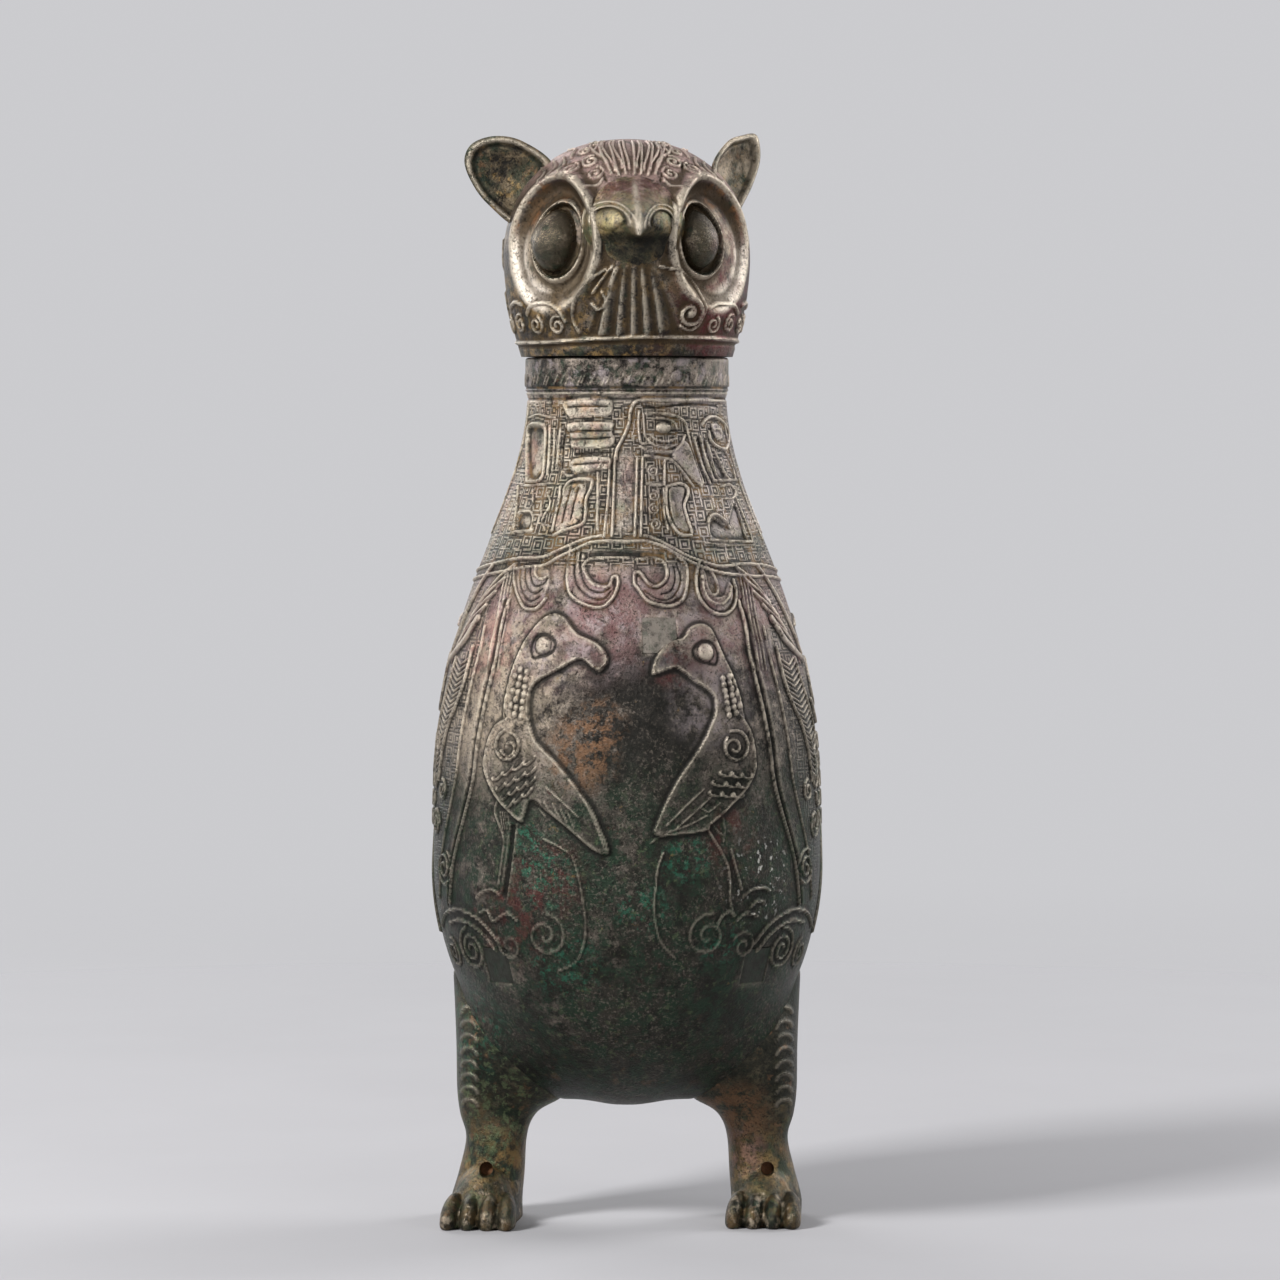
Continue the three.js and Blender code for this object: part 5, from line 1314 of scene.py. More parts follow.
def leg_zones(p):
    """Green-black above, ochre earth at the ankles and the toes."""
    ankle = p.above(12, 5) * (1 - p.above(26, 7))
    return [
        (DEEP_GREEN, p.patches(9, 0.44, 0.62, 51, 8.0) * 0.7),
        (SAGE, p.patches(6, 0.56, 0.66, 52, 8.0) * 0.6),
        (BLACK_GREEN, p.above(40, 10) * p.patches(12, 0.3, 0.54, 56) * 0.8),
        (SOIL, (1 - p.above(38, 12)) * p.patches(6, 0.46, 0.62, 53, 8.0) * 0.6),
        (OCHRE, ankle * p.patches(5, 0.46, 0.6, 57, 8.0) * 0.55),
        (BLACK_GREEN, p.spot((52, -12, 44), 22) * p.patches(5, 0.4, 0.56, 63, 9.0, 0.7) * 0.8),
        (SKIN, p.spot((36, -12, 24), 8) * p.patches(5, 0.44, 0.56, 58, 9.0, 0.7) * 0.5),
        (RUST, p.spot((35, -12, 36), 11) * p.patches(4, 0.42, 0.54, 60, 9.0, 0.7) * 0.8),
        (SAGE, p.spot((-48, -12, 40), 30) * p.patches(2.6, 0.52, 0.6, 64, 9.0, 0.72) * 0.8),
        (PIT, (1 - p.above(14, 5)) * p.patches(3.4, 0.5, 0.6, 65, 9.0, 0.72) * 0.75),
        (MALACHITE, p.spot((-54, -12, 62), 14) * p.patches(3, 0.5, 0.6, 59, 9.0, 0.72) * 0.6),
        (RUST, p.patches(5, 0.58, 0.68, 54, 8.0) * 0.6),
        (PALE, (1 - p.above(14, 6)) * p.patches(4, 0.54, 0.66, 55, 8.0) * 0.6),
    ]


leg_finish = patina("leg_patina", BLACK_GREEN, shade(92, 86, 68), leg_zones, seed=50,
                    worn_and_sheen=lambda p: (WORN_AND_SHEEN, 0.22), soil=lambda p: (SOIL, 0.5))
core_paint = Paint("leg_core_clay")
core_mottle = core_paint.noise(3, 61, 8.0, 0.7)
core_clay = core_paint.finish(core_paint.blend(shade(150, 104, 70), shade(96, 68, 50), core_mottle),
                              0.95, 0.0, core_mottle, 0.6)
for leg in legs:
    coat(leg, leg_finish)
for name in LEGS:
    coat(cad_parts[name + "_core"], core_clay)


# The lid is the owl's head, one hollow casting with a ledge inside its rim for the tongue ring.
# Its eyes are domes in deep sockets. It sits turned by 4 degrees, as in the photograph.
LID_RIM_Z = 283.6
LID_RIM_RADIUS = 34.6
LEDGE_TOP_Z = 287.0
LEDGE_RADIUS = 31.9
BORE_RADIUS = 28.4
HEAD_RADIUS = 40.3
HEAD_WIDEST_Z = 315.6
HEAD_TOP_Z = 354.6
HEAD_WALL = 5.0
DOME_SQUARENESS = 2.2
LID_TURN = 4.0
HEAD_COLUMNS = 480
HEAD_ROW = 0.54
SOCKET = dict(azimuth=46, above=36, half_width=20, half_height=22.5, depth=3.6)
EYES = {-1: dict(azimuth=-41, above=37, half_width=10.4, half_height=12.6, ball=-43.5, ball_width=8.3,
                 ball_height=10.2, bulge=7.6),
        1: dict(azimuth=36.5, above=37.5, half_width=9.6, half_height=12.0, ball=35.5, ball_width=7.6,
                ball_height=9.8, bulge=7.0)}


def head_radius(z, inset=0.0):
    """Outer radius of the plain head at a height, or the radius inside its wall."""
    z = np.asarray(z, float)
    below_rim = HEAD_RADIUS + (LID_RIM_RADIUS - HEAD_RADIUS) * np.clip(
        (HEAD_WIDEST_Z - z) / (HEAD_WIDEST_Z - LID_RIM_Z), 0, 1) ** 1.8
    up = np.clip((z - HEAD_WIDEST_Z) / (HEAD_TOP_Z - HEAD_WIDEST_Z - inset), 0, 1)
    dome = (HEAD_RADIUS - inset) * (1 - up**DOME_SQUARENESS) ** (1 / DOME_SQUARENESS)
    return np.where(z < HEAD_WIDEST_Z, below_rim - inset, dome)


def dome_outline(inset, count):
    """The head's outline from its widest place to the top, as points of radius and height."""
    angle = np.linspace(0, np.pi / 2, count)
    z = HEAD_WIDEST_Z + (HEAD_TOP_Z - HEAD_WIDEST_Z - inset) * np.sin(angle) ** (2 / DOME_SQUARENESS)
    radius = (HEAD_RADIUS - inset) * np.clip(np.cos(angle), 0, 1) ** (2 / DOME_SQUARENESS)
    radius[-1] = 0
    return list(zip(radius, z))


def face_form(azimuth, z):
    """How far the face stands out from the plain head, and where its sockets and eyeballs are."""
    above = z - LID_RIM_Z
    relief = np.zeros(np.broadcast(azimuth, above).shape)
    zones = {name: np.zeros_like(relief) for name in ("socket", "recess", "crescent", "eyeball")}
    for side, eye in EYES.items():
        outwards = (side * azimuth - SOCKET["azimuth"]) * np.radians(HEAD_RADIUS) / SOCKET["half_width"]
        up = (above - SOCKET["above"]) / SOCKET["half_height"]
        ring = np.hypot(outwards, up)
        brow = np.clip(0.6 - 0.4 * outwards + 0.55 * up, 0.12, 1.3)
        relief += brow * 2.0 * np.exp(-(((ring - 1) / 0.1) ** 2))
        deep = np.clip(1.0 - 0.35 * outwards + 0.45 * up, 0.35, 1.6)
        relief -= SOCKET["depth"] * deep * ramp((1 - ring) / 0.28)
        across = (azimuth - eye["azimuth"]) * np.radians(HEAD_RADIUS)
        lid = np.hypot(across / eye["half_width"], (above - eye["above"]) / eye["half_height"])
        relief += 2.2 * np.exp(-(((lid - 1) / 0.085) ** 2)) - 0.8 * ramp((1 - lid) / 0.2)
        narrow = 1 - 0.14 * np.clip((eye["above"] - above) / eye["half_height"], 0, 1)
        across = (azimuth - eye["ball"]) * np.radians(HEAD_RADIUS) / (eye["ball_width"] * narrow)
        ball = np.hypot(across, (above - eye["above"]) / eye["ball_height"])
        relief += eye["bulge"] * np.sqrt(np.clip(1 - ball**2, 0, 1))
        inside = ramp((1.02 - ring) / 0.1)
        zones["socket"] += inside
        zones["recess"] += inside * ramp((up - 0.05) / 0.4) * ramp((ring - 0.45) / 0.2)
        zones["crescent"] += (inside * ramp((0.25 - up) / 0.4) * ramp((outwards + 0.1) / 0.3)
                              * ramp((ring - 0.55) / 0.15))
        zones["eyeball"] += ramp((1.02 - lid) / 0.06)
    return relief, zones


rim_rows = [(float(head_radius(z)), float(z)) for z in np.linspace(LID_RIM_Z, HEAD_WIDEST_Z, 60)[:-1]]
head_wall = Relief(spaced([*rim_rows, *dome_outline(0, 400)], HEAD_ROW), HEAD_COLUMNS)
head_wall.outline[-1] = (0, HEAD_TOP_Z)
turns = (np.arange(HEAD_COLUMNS) * 360 / HEAD_COLUMNS + 180) % 360 - 180
face, head_wall.zones = face_form(turns[None, :], head_wall.z[:, None])
head_wall.pushed = face * ramp((head_wall.z - LID_RIM_Z) / 6)[:, None]


def head_lines(lines, **look):
    for line in lines:
        head_wall.stroke([(azimuth, LID_RIM_Z + above) for azimuth, above in line], **look)


def head_spiral(azimuth, above, outer, inner, turns, start, hand, **look):
    head_wall.spiral(azimuth, LID_RIM_Z + above, outer, inner, turns, start, hand, **look)


# The pleats under the beak: each fold rises from its right edge to a crest at its left.
PLEATS_TOP = 28.5
PLEATS_FOOT = 6.4
PLEATS = ((-9.0, -17.5, 7.5, 1.5), (-5.2, -8.6, 6.5, 1.25), (-1.2, -1.4, 6.5, 1.3), (2.6, 5.4, 6.5, 1.45),
          (6.8, 13.2, 7.0, 1.2))
above_rim = (head_wall.z - LID_RIM_Z)[:, None]
down = np.clip((PLEATS_TOP - above_rim) / (PLEATS_TOP - PLEATS_FOOT), 0, 1)
under_beak = ramp((PLEATS_TOP + 1 - above_rim) / 3) * ramp((above_rim - PLEATS_FOOT + 0.6) / 1.2)
folds = np.zeros((len(head_wall.z), HEAD_COLUMNS))
for top, foot, width, rise in PLEATS:
    away = turns[None, :] - (top + (foot - top) * down)
    wide = (0.5 + 0.5 * down) * width
    fold = np.clip(1 - np.where(away > 0, away / wide, -away / (0.3 * wide)), 0, 1)
    folds = np.maximum(folds, rise * (0.5 + 0.5 * down) * fold**0.8)
within = ramp((16.5 * down + 9 - np.abs(turns[None, :] - 0.5)) / 3)
head_wall.ground += under_beak * (folds - 0.5 * within)
head_wall.zones["pleats"] = under_beak * within
# The cheeks, with a row of small spirals above the rim.
CHEEK_SPIRALS = ((-40.5, 9.6, 3.2, 1), (-55, 10, 3.2, -1), (44, 10, 3.0, -1), (58, 10.5, 3.2, 1),
                 (-70, 10.5, 3.4, 1), (72, 10.5, 3.4, -1), (-86, 10.5, 3.4, -1), (86, 10.5, 3.4, 1))
head_lines([[(-10.5, 28.5), (-15, 24.5), (-19.9, 20)],
            [(-15.5, 20.5), (-14, 17), (-17.5, 14.6), (-20.5, 16.5)],
            [(11.5, 28.5), (17, 27.6), (24, 27), (32.5, 23), (37, 17), (34.5, 10.5), (29, 8.2), (23.5, 9.5)]],
           width=0.8, height=0.8, edge=0.6)
head_lines([[(-13.5, 27.5), (-20, 24.5), (-26, 20.5), (-30, 16), (-31, 11.5), (-28.5, 7.5)]],
           width=0.8, height=0.9, edge=0.6)
head_spiral(28.2, 13.5, 5.0, 1.0, 1.35, 70, -1, width=1.1, height=1.0, edge=0.7)
head_wall.boss(28.2, LID_RIM_Z + 13.5, 1.5, 1.5, 1.4)
for azimuth, above, outer, hand in CHEEK_SPIRALS:
    head_spiral(azimuth, above, outer, 0.7, 1.4, 60, hand, width=0.8, height=0.75, edge=0.6)
head_lines([[(-61, 13.5), (-56, 16.5), (-47, 17), (-39, 14.8), (-35.5, 11)],
            [(40, 15.5), (48, 17), (58, 16.5), (66, 14)],
            [(-64, 16.5), (-72, 17.5), (-82, 16)], [(70, 16.5), (80, 17.5), (90, 16)]],
           width=1.1, height=0.8, edge=0.7)
head_lines([[(-92, 4.6), (-60, 4.3), (-45, 4.5), (-25, 5.2), (0, 5.8), (20.5, 6), (48.5, 5.7), (92, 5)],
            [(88, 5), (180, 4.6), (272, 4.6)]], width=1.0, height=0.8, edge=0.6)
head_lines([[(-92, 3.1), (-45, 3), (0, 4.1), (48.5, 4), (92, 3.4)]],
           width=1.0, height=0.4, edge=0.6, groove=True)
# A groove sets the beak's raised bed off from each eye.
head_lines([[(-19, 50), (-21.5, 45), (-22, 39), (-19.5, 33.5)], [(20, 51), (22, 46), (21.5, 39), (19, 34)]],
           width=1.2, height=0.8, edge=1.0, groove=True)

# The strands of feathers from the brow over the crown, with a swirl on each side.
HAIR = dict(width=0.7, height=0.65, edge=0.5)
STRANDS = ((-19, 60.6, -10), (-16, 58.4, -7), (-13.4, 59.4, -7), (-10.4, 58, -4), (-8.2, 60.4, -4),
           (-5.4, 58.4, -2), (-2.8, 60, -2), (1, 58.2, 1), (3.2, 60.2, 3), (5.6, 58.4, 2),
           (8.2, 59.4, 5), (10.8, 58, 5), (13.2, 59.6, 8), (16.4, 58.4, 9), (19.4, 60.6, 12))
SWIRLS = ((23, 58.6, 3.0, 1), (29.5, 62.6, 3.2, -1), (40, 60.4, 2.6, 1), (42, 66, 2.4, -1))
SWIRL_LINES = [
    [(17, 57), (20, 54.6), (26, 54.4)], [(33, 57.6), (37, 57.4), (46, 58.4)],
    [(33, 66), (36, 68), (48, 68.4)], [(25, 66.2), (36, 68.9), (58, 69)],
    [(48, 59.6), (51, 62.4), (60, 64.4)], [(54, 58), (58, 61.4), (68, 63.2)],
    [(61, 56.4), (66, 59.8), (77, 61)], [(49, 64), (60, 67), (76, 67)], [(22, 64), (30, 67.2), (40, 69.6)],
]
SWIRL_GROOVE = [(15, 56), (21, 60.2), (30, 58.4), (38, 62.6), (50, 61)]
for azimuth, foot, lean in STRANDS:
    head_lines([[(azimuth * 0.8, foot), (azimuth, foot + 2.6), (azimuth * 1.2 + lean, 66),
                 (azimuth * 1.8 + 2.2 * lean, 69.6)]], **HAIR)
for side in (-1, 1):
    at = on_side(side)
    for azimuth, above, outer, hand in SWIRLS:
        head_spiral(side * azimuth, above, outer, 0.6, 1.5, 90, side * hand, **HAIR)
    head_lines([at(*line) for line in SWIRL_LINES], **HAIR)
    head_lines([at(*SWIRL_GROOVE)], width=0.7, height=0.45, edge=0.6, groove=True)

# The feathers on the back of the head.
for row in range(6):
    above = 59 - 8.6 * row
    count = 10 + (row % 2)
    for step in range(count):
        azimuth = 180 + (step - (count - 1) / 2) * 15.5
        if abs(azimuth - 180) > 84 or abs(azimuth - 180) > 62 and above > 40:
            continue
        head_lines([[(azimuth - 7, above + 5), (azimuth - 6, above - 1), (azimuth, above - 4.6),
                     (azimuth + 6, above - 1), (azimuth + 7, above + 5)]], width=1.0, height=0.7, edge=0.7)
        head_lines([[(azimuth, above + 3), (azimuth, above - 2)],
                    [(azimuth - 3, above + 3), (azimuth - 2.6, above)],
                    [(azimuth + 3, above + 3), (azimuth + 2.6, above)]], width=0.7, height=0.45, edge=0.6)
head_wall.ground += 0.14 * uneven(head_wall.ground.shape, 12, 3) + 0.07 * uneven(head_wall.ground.shape, 3, 4)

head_inside = dome_outline(HEAD_WALL, 14)[::-1]
head_inside += [(float(head_radius(z)) - HEAD_WALL, float(z))
                for z in np.linspace(HEAD_WIDEST_Z, LEDGE_TOP_Z + 2, 6)[1:]]
head_inside += [(LEDGE_RADIUS, LEDGE_TOP_Z), (BORE_RADIUS, LEDGE_TOP_Z), (BORE_RADIUS, LID_RIM_Z)]
head = turned_wall("owl_head", head_wall, 0, len(head_wall.z) - 1, head_inside, LID_TURN)
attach(head, "lid")
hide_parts("lid_head")

CRIMSON = shade(104, 36, 44)
CROWN_PINK = shade(186, 156, 148)
CRESCENT = shade(236, 224, 208)
SOCKET_ORANGE = shade(146, 100, 60)
EYE_DARK = shade(58, 52, 38)


def head_zones(p):
    """Pink-brown on the crown, ochre and pale metal in the sockets, dark eyeballs, crimson on one cheek;
    painted highlights on the eyeballs and low in the sockets, painted shade under the brows and under the
    beak.
    """
    crown = p.above(338, 7)
    left = p.step(p.axis("X"), 0.0, 0.03)
    low = 1 - p.above(310, 8)
    socket = p.mark("socket")
    recess = p.mark("recess")
    return [
        (CROWN_PINK, crown * p.patches(7, 0.34, 0.54, 71, 8.0) * 0.85),
        (PIT, crown * p.patches(3, 0.54, 0.62, 72, 9.0, 0.7) * 0.7),
        (OCHRE, low * (1 - left) * p.patches(4, 0.46, 0.56, 73, 9.0, 0.72) * 0.75),
        (DEEP_GREEN, low * (1 - left) * p.patches(7, 0.48, 0.62, 86, 8.0) * 0.7),
        (PIT, low * p.patches(4.5, 0.46, 0.58, 87, 9.0, 0.7) * 0.85),
        (CUPRITE, low * left * p.patches(7, 0.44, 0.56, 74, 9.0, 0.7) * 0.75),
        (CRIMSON, p.spot((31, -24, 299), 13) * p.patches(4, 0.4, 0.54, 88, 9.0, 0.7) * 0.85),
        # Painted shade under the beak, over the pleats.
        (DARK, p.mark("pleats") * 0.6),
        (PALE, socket * (1 - recess) * p.patches(9, 0.34, 0.56, 75, 8.0) * 0.75),
        # Painted highlight on the lower outer face of each socket.
        (CRESCENT, p.mark("crescent") * p.patches(7, 0.24, 0.42, 84, 8.0)),
        # Painted shade in the top of each socket, under the brow.
        (DARK, recess * p.patches(9, 0.34, 0.54, 76, 8.0) * 0.8),
        (SOCKET_ORANGE, recess * p.patches(7, 0.46, 0.6, 77, 9.0, 0.7) * 0.7),
        (EYE_DARK, p.mark("eyeball") * p.patches(6, 0.24, 0.46, 78) * 0.92),
        (DEEP_GREEN, p.mark("eyeball") * (1 - p.above(316, 5)) * p.patches(4, 0.44, 0.6, 79, 8.0) * 0.8),
        # Painted highlights: a pale spot near the top of each eyeball.
        (PALE, p.mark("eyeball") * p.spot((-33, -33, 324), 5) * p.patches(3, 0.36, 0.5, 89, 8.0) * 0.8),
        (LILAC, p.mark("eyeball") * p.spot((32, -33, 324), 4) * p.patches(3, 0.36, 0.5, 90, 8.0) * 0.8),
        (CRIMSON, p.mark("eyeball") * p.spot((32, -33, 318), 4) * 0.5),
        (DEEP_GREEN, p.patches(5, 0.6, 0.68, 80, 8.0) * 0.6),
        (CUPRITE, p.spot((40, -12, 320), 18) * p.patches(6, 0.46, 0.6, 81, 8.0) * 0.6),
    ]


head_finish = patina("head_patina", DARK, shade(126, 112, 98), head_zones, seed=70,
                     worn_and_sheen=lambda p: (WORN_AND_SHEEN, (1 - p.mark("eyeball")) * (1 - 0.25 * p.mark("pleats")) * 0.66),
                     soil=lambda p: (p.blend(PIT, SOIL, 0.3), 0.8), shine=lambda p: p.mark("eyeball") * 0.22)
coat(head, head_finish)
head_spacer = spacer("head_spacer", shade(112, 96, 88), 83)
for number in (1, 2, 3):
    coat(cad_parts[f"lid_chaplet_{number}"], head_spacer)

# The tongue is the bronze ring under the lid. It goes down into the mouth and keeps the lid in place.
# On the real lid it is cast in one with the head.
coat(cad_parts["lid_tongue"], spacer("tongue_patina", shade(66, 60, 46), 85))

# The beak is cast on to the face: a broad mound with a sharp ridge that hooks down to the tip.
# Beside the ridge a nostril lobe lies under two curved lines, and the underside is hollowed.
BEAK_Z = 326.6
BEAK_WIDTH = 33.0
BEAK_HEIGHT = 32.0
BEAK_SUNK = 0.2
MOUND_REACH = 8.5
KEEL_REACH = 8.5
KEEL_DROP = 3.0
NOSTRILS = ((-8.6, 0.2, 4.6, 3.4, 1.7), (8.2, -0.4, 3.4, 3.2, 0.4))

beak = unit_ball(240, 180)
beak.name = "owl_beak"
x, y, z = points_of(beak).T
across, up = x * BEAK_WIDTH / 2, z * BEAK_HEIGHT / 2
from_middle = np.hypot(x, z)
mound = ramp((1 - from_middle) / 0.85) * (0.4 + 0.6 * ramp((up + 8) / 6))
keel_width = 2.0 + 0.26 * np.clip(up + 4, 0, 20)
keel = np.exp(-((across / keel_width) ** 2)) * ramp((16 - up) / 18) * ramp((up + 6) / 4)
edge = 0.9 * np.exp(-((across / 1.0) ** 2)) * ramp((up + 5) / 3) * ramp((15 - up) / 4)
lobes = np.zeros_like(across)
curves = np.zeros_like(across)
for side_place, up_place, half_width, half_height, height in NOSTRILS:
    reach = np.hypot((across - side_place) / half_width, (up - up_place) / half_height)
    lobes += height * np.sqrt(np.clip(1 - reach**2, 0, 1))
    over = ramp((up - up_place + 2.4) / 2)
    for radius in (1.3, 1.75):
        curves += 0.9 * np.exp(-(((reach - radius) / 0.12) ** 2)) * over
    lobes -= 1.0 * np.exp(-(((reach - 1.1) / 0.1) ** 2)) * over
front = ramp(-y / 0.12)
nostrils = (lobes + curves) * ramp((1 - from_middle) / 0.15)
out = front * (MOUND_REACH * mound + KEEL_REACH * keel + edge + nostrils)
surface = head_radius(BEAK_Z + up)
sunk = BEAK_SUNK + 3 * ramp((from_middle - 0.9) / 0.1) + 3 * ramp(y)
deep = np.sqrt(np.maximum(surface**2 - across**2, 1)) - sunk + out
points = np.column_stack([across, -deep, BEAK_Z + up - KEEL_DROP * front * keel])
points = turned_about_axis(outside_of(points, head_radius, SUNK_IN_WALL + 3), LID_TURN)
move_points(beak, points * MM)
mark(beak, "ridge", np.clip(0.9 * edge + 0.9 * curves + 0.2 * np.clip(lobes, 0, 2), 0, 1))
mark(beak, "hollow", np.clip(-lobes + 0.4 * (1 - keel) * ramp((3 - np.abs(np.abs(across) - 3.4)) / 2), 0, 1))
# Painted shade: the lower part of the beak is marked, to be painted nearly black.
mark(beak, "shaded_underside", ramp((-up - 3) / 3) * ramp((1 - from_middle) / 0.3))
closed_up(beak)
bpy.ops.object.shade_smooth()
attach(beak, "lid")
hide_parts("beak")

STRAW = shade(196, 180, 118)


def beak_zones(p):
    """Green-ochre at the nostrils, purple on the crest, and painted shade that makes the underside nearly
    black.
    """
    return [
        (SAGE, p.patches(5, 0.48, 0.62, 91, 8.0) * (1 - p.above(334, 5)) * 0.6),
        (OCHRE, p.patches(3, 0.5, 0.62, 92, 9.0, 0.7) * 0.5),
        (STRAW, p.spot((-9, -48, 326), 6) * p.patches(3, 0.4, 0.56, 96, 8.0) * 0.8),
        (CROWN_PINK, p.above(334, 4) * p.patches(4, 0.44, 0.58, 93, 9.0, 0.7) * 0.8),
        (CUPRITE, p.above(334, 3) * p.patches(5, 0.42, 0.56, 95, 9.0, 0.7) * 0.75),
        (PALE, p.spot((4, -58, 330), 8) * p.patches(3, 0.4, 0.54, 97, 9.0, 0.7) * 0.7),
        (PIT, p.spot((12, -52, 325), 8) * 0.75),
        # Painted shade under the beak.
        (BLACK_GREEN, p.mark("shaded_underside") * 0.7),
        (PIT, p.mark("shaded_underside") * p.patches(6, 0.36, 0.56, 94, 8.0) * 0.8),
    ]


beak_finish = patina("beak_patina", DARK, shade(136, 124, 96), beak_zones, seed=90,
                     worn_and_sheen=lambda p: (WORN_AND_SHEEN, 0.8), soil=lambda p: (PIT, 0.7))
coat(beak, beak_finish)

# The ears are thin cupped blades cast on to the sides of the head. The left one is swept further back,
# so it looks narrow from the front. Each has a raised edge on its front face.
EAR_REACH = 17.0
EAR_RISE = 18.0
EAR_THICKNESS = 3.4
EAR_CUP = 4.0
EAR_FORWARD = 3.0
EAR_Z = 338.6
EAR_HINGE_INSIDE = 4.2
EAR_OUTWARD = 2.0
EAR_EDGE = 0.6
EAR_GROOVE = 0.35
LEFT_EAR = [(-0.7, 0.4), (-0.24, 0.84), (0.24, 0.98), (0.68, 1.01), (0.82, 0.72), (0.75, 0.39), (0.41, -0.11),
            (-0.12, -0.56), (-0.6, -0.17)]
RIGHT_EAR = [(-0.7, 0.4), (-0.12, 0.83), (0.41, 0.93), (0.85, 0.8), (1.01, 0.5), (0.88, 0.11), (0.56, -0.3),
             (-0.06, -0.72), (-0.6, -0.28)]
EARS = {"left_ear": dict(side=1, sweep=48, outline=LEFT_EAR),
        "right_ear": dict(side=-1, sweep=6, outline=RIGHT_EAR)}


def ear_points(unit, side, sweep, outline):
    """The ball's points drawn out to a cupped blade, and the height of the raised edge at each of them."""
    root = EAR_HINGE_INSIDE + EAR_OUTWARD
    corners = [(root + out * EAR_REACH, EAR_Z + up * EAR_RISE) for out, up in outline]
    middle = np.mean(corners, axis=0)
    curve = np.array(flowing([*corners, corners[0]], 24))
    angles = np.unwrap(np.arctan2(curve[:, 1] - middle[1], curve[:, 0] - middle[0]))
    order = np.argsort(angles)
    x, y, z = unit.T
    reach = np.hypot(x, z)
    angle = np.arctan2(z, side * x)
    start = angles[order][0]
    angle = (angle - start) % (2 * np.pi) + start
    edge_x = np.interp(angle, angles[order], curve[order, 0])
    edge_z = np.interp(angle, angles[order], curve[order, 1])
    along = middle[0] + (edge_x - middle[0]) * reach
    lip = EAR_EDGE * np.exp(-(((reach - 0.88) / 0.07) ** 2))
    lip -= EAR_GROOVE * np.exp(-(((reach - 0.74) / 0.06) ** 2))
    through = y * EAR_THICKNESS / 2 + EAR_CUP * (0.5 - reach**2) - lip * (y < 0)
    hinge = float(head_radius(EAR_Z)) - EAR_HINGE_INSIDE
    cos, sin = math.cos(math.radians(sweep)), math.sin(math.radians(sweep))
    placed = np.column_stack([side * (hinge + along * cos - through * sin),
                              -EAR_FORWARD + along * sin + through * cos,
                              middle[1] + (edge_z - middle[1]) * reach])
    return placed, lip


ears = []
for name, ear in EARS.items():
    blade = unit_ball(192, 96)
    blade.name = "owl_" + name
    unit = points_of(blade)
    unit = np.column_stack([unit[:, 0], unit[:, 2], -unit[:, 1]])
    placed, lip = ear_points(unit, **ear)
    placed = turned_about_axis(outside_of(placed, head_radius, SUNK_IN_WALL), LID_TURN)
    move_points(blade, placed * MM)
    mark(blade, "ridge", np.clip(lip / EAR_EDGE, 0, 1))
    mark(blade, "hollow", np.clip(-lip / EAR_GROOVE, 0, 1))
    closed_up(blade)
    bpy.ops.object.shade_smooth()
    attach(blade, "lid")
    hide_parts(name)
    ears.append(blade)


def ear_zones(p):
    """Green-black with ochre and pale specks."""
    return [
        (DEEP_GREEN, p.patches(8, 0.42, 0.6, 101, 8.0) * 0.6),
        (OCHRE, p.patches(3, 0.54, 0.64, 102, 9.0, 0.7) * 0.55),
        (PIT, p.patches(8, 0.46, 0.62, 105, 8.0) * 0.6),
        (PALE, p.step(p.axis("X"), 0.0, 0.03) * p.patches(7, 0.4, 0.6, 103, 8.0) * 0.6),
        (RUST, p.patches(5, 0.56, 0.66, 104, 8.0) * 0.6),
    ]


ear_finish = patina("ear_patina", DARK, shade(118, 104, 82), ear_zones, seed=100,
                    worn_and_sheen=lambda p: (WORN_AND_SHEEN, 0.6), soil=lambda p: (PIT, 0.5))
for blade in ears:
    coat(blade, ear_finish)

# The studio: a wide pale floor that fades into a pale surround, soft lamps, and a camera a little above
# the owl's eyes.
CAMERA_PLACE = (0.0043, -1.7, 0.263)
CAMERA_TARGET = (0.0043, 0.0, 0.1908)
LENS = 145.8
FLOOR_SIZE = 8.0
FADE_FROM = 0.12
FADE_TO = 1.3
SURROUND = (0.6, 0.6, 0.62, 1)
SKY = (0.8, 0.8, 0.82, 1)
SKY_STRENGTH = 0.28
LAMPS = {"key": ((-1.2, -1.0, 1.25), 0.45, 38), "fill": ((1.3, -1.2, 0.6), 0.9, 5),
         "rim": ((1.2, 0.7, 0.9), 0.6, 12), "back": ((-0.8, 1.2, 0.9), 0.9, 8)}
LAMPS_AIM_AT = (0, 0, 0.18)


def aimed(obj, target):
    """Turns a camera or a lamp towards a place."""
    x, y, z = [t - p for t, p in zip(target, obj.location)]
    obj.rotation_euler = (math.atan2(math.hypot(x, y), -z), 0, math.atan2(-x, y))


bpy.ops.object.camera_add(location=CAMERA_PLACE)
camera = bpy.context.object
camera.data.sensor_width = 36
camera.data.lens = LENS
aimed(camera, CAMERA_TARGET)
bpy.context.scene.camera = camera
bpy.context.scene.view_settings.view_transform = "Standard"

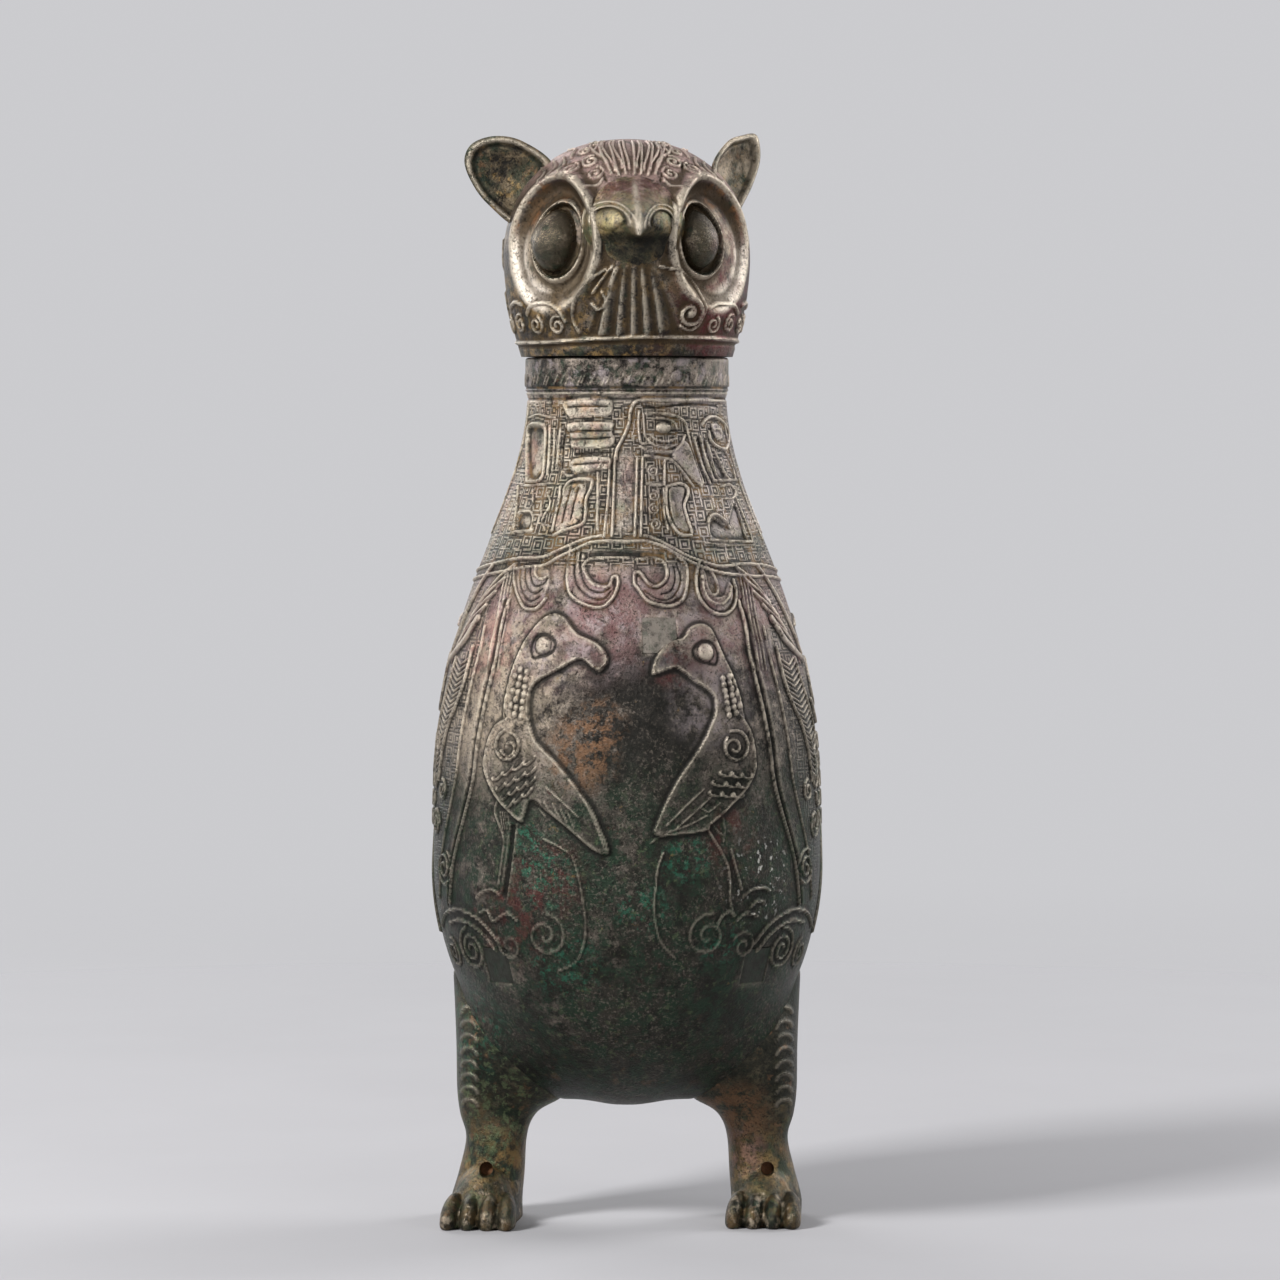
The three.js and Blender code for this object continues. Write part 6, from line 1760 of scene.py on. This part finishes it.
bpy.ops.mesh.primitive_circle_add(vertices=96, radius=FLOOR_SIZE / 2, fill_type="NGON", location=(0, 0, 0))
floor = bpy.context.object
floor.name = "studio_floor"
floor_paint = Paint("studio_floor")
mottle = floor_paint.noise(160, 1, 4.0)
surface = floor_paint.node("ShaderNodeBsdfPrincipled", {}, {
    "Base Color": floor_paint.blend(shade(190, 189, 192), shade(180, 179, 182), mottle), "Roughness": 0.7})
clear = floor_paint.node("ShaderNodeBsdfTransparent")
away = floor_paint.node("ShaderNodeVectorMath", {"operation": "LENGTH"}, {0: floor_paint.place},
                        output="Value")
fade = floor_paint.step(away, FADE_FROM, FADE_TO)
faded = floor_paint.node("ShaderNodeMixShader", {}, {0: fade, 1: surface, 2: clear})
end = floor_paint.tree.nodes.new("ShaderNodeOutputMaterial")
floor_paint.tree.links.new(faded.socket, end.inputs["Surface"])
floor.data.materials.append(floor_paint.material)

for name, (place, width, power) in LAMPS.items():
    bpy.ops.object.light_add(type="AREA", location=place)
    lamp = bpy.context.object
    lamp.name = name + "_lamp"
    lamp.data.size = width
    lamp.data.energy = power
    aimed(lamp, LAMPS_AIM_AT)

world = bpy.data.worlds.new("studio")
bpy.context.scene.world = world
world.use_nodes = True
nodes, links = world.node_tree.nodes, world.node_tree.links
sky = nodes["Background"]
sky.inputs["Color"].default_value = SKY
sky.inputs["Strength"].default_value = SKY_STRENGTH
seen = nodes.new("ShaderNodeBackground")
seen.inputs["Color"].default_value = SURROUND


def larger(first, second):
    made = nodes.new("ShaderNodeMath")
    made.operation = "MAXIMUM"
    links.new(first, made.inputs[0])
    links.new(second, made.inputs[1])
    return made.outputs[0]


ray = nodes.new("ShaderNodeLightPath").outputs
in_view = larger(ray["Is Camera Ray"], larger(ray["Is Glossy Ray"], ray["Is Transmission Ray"]))
either = nodes.new("ShaderNodeMixShader")
for place, socket in enumerate((in_view, sky.outputs[0], seen.outputs[0])):
    links.new(socket, either.inputs[place])
links.new(either.outputs[0], nodes["World Output"].inputs["Surface"])
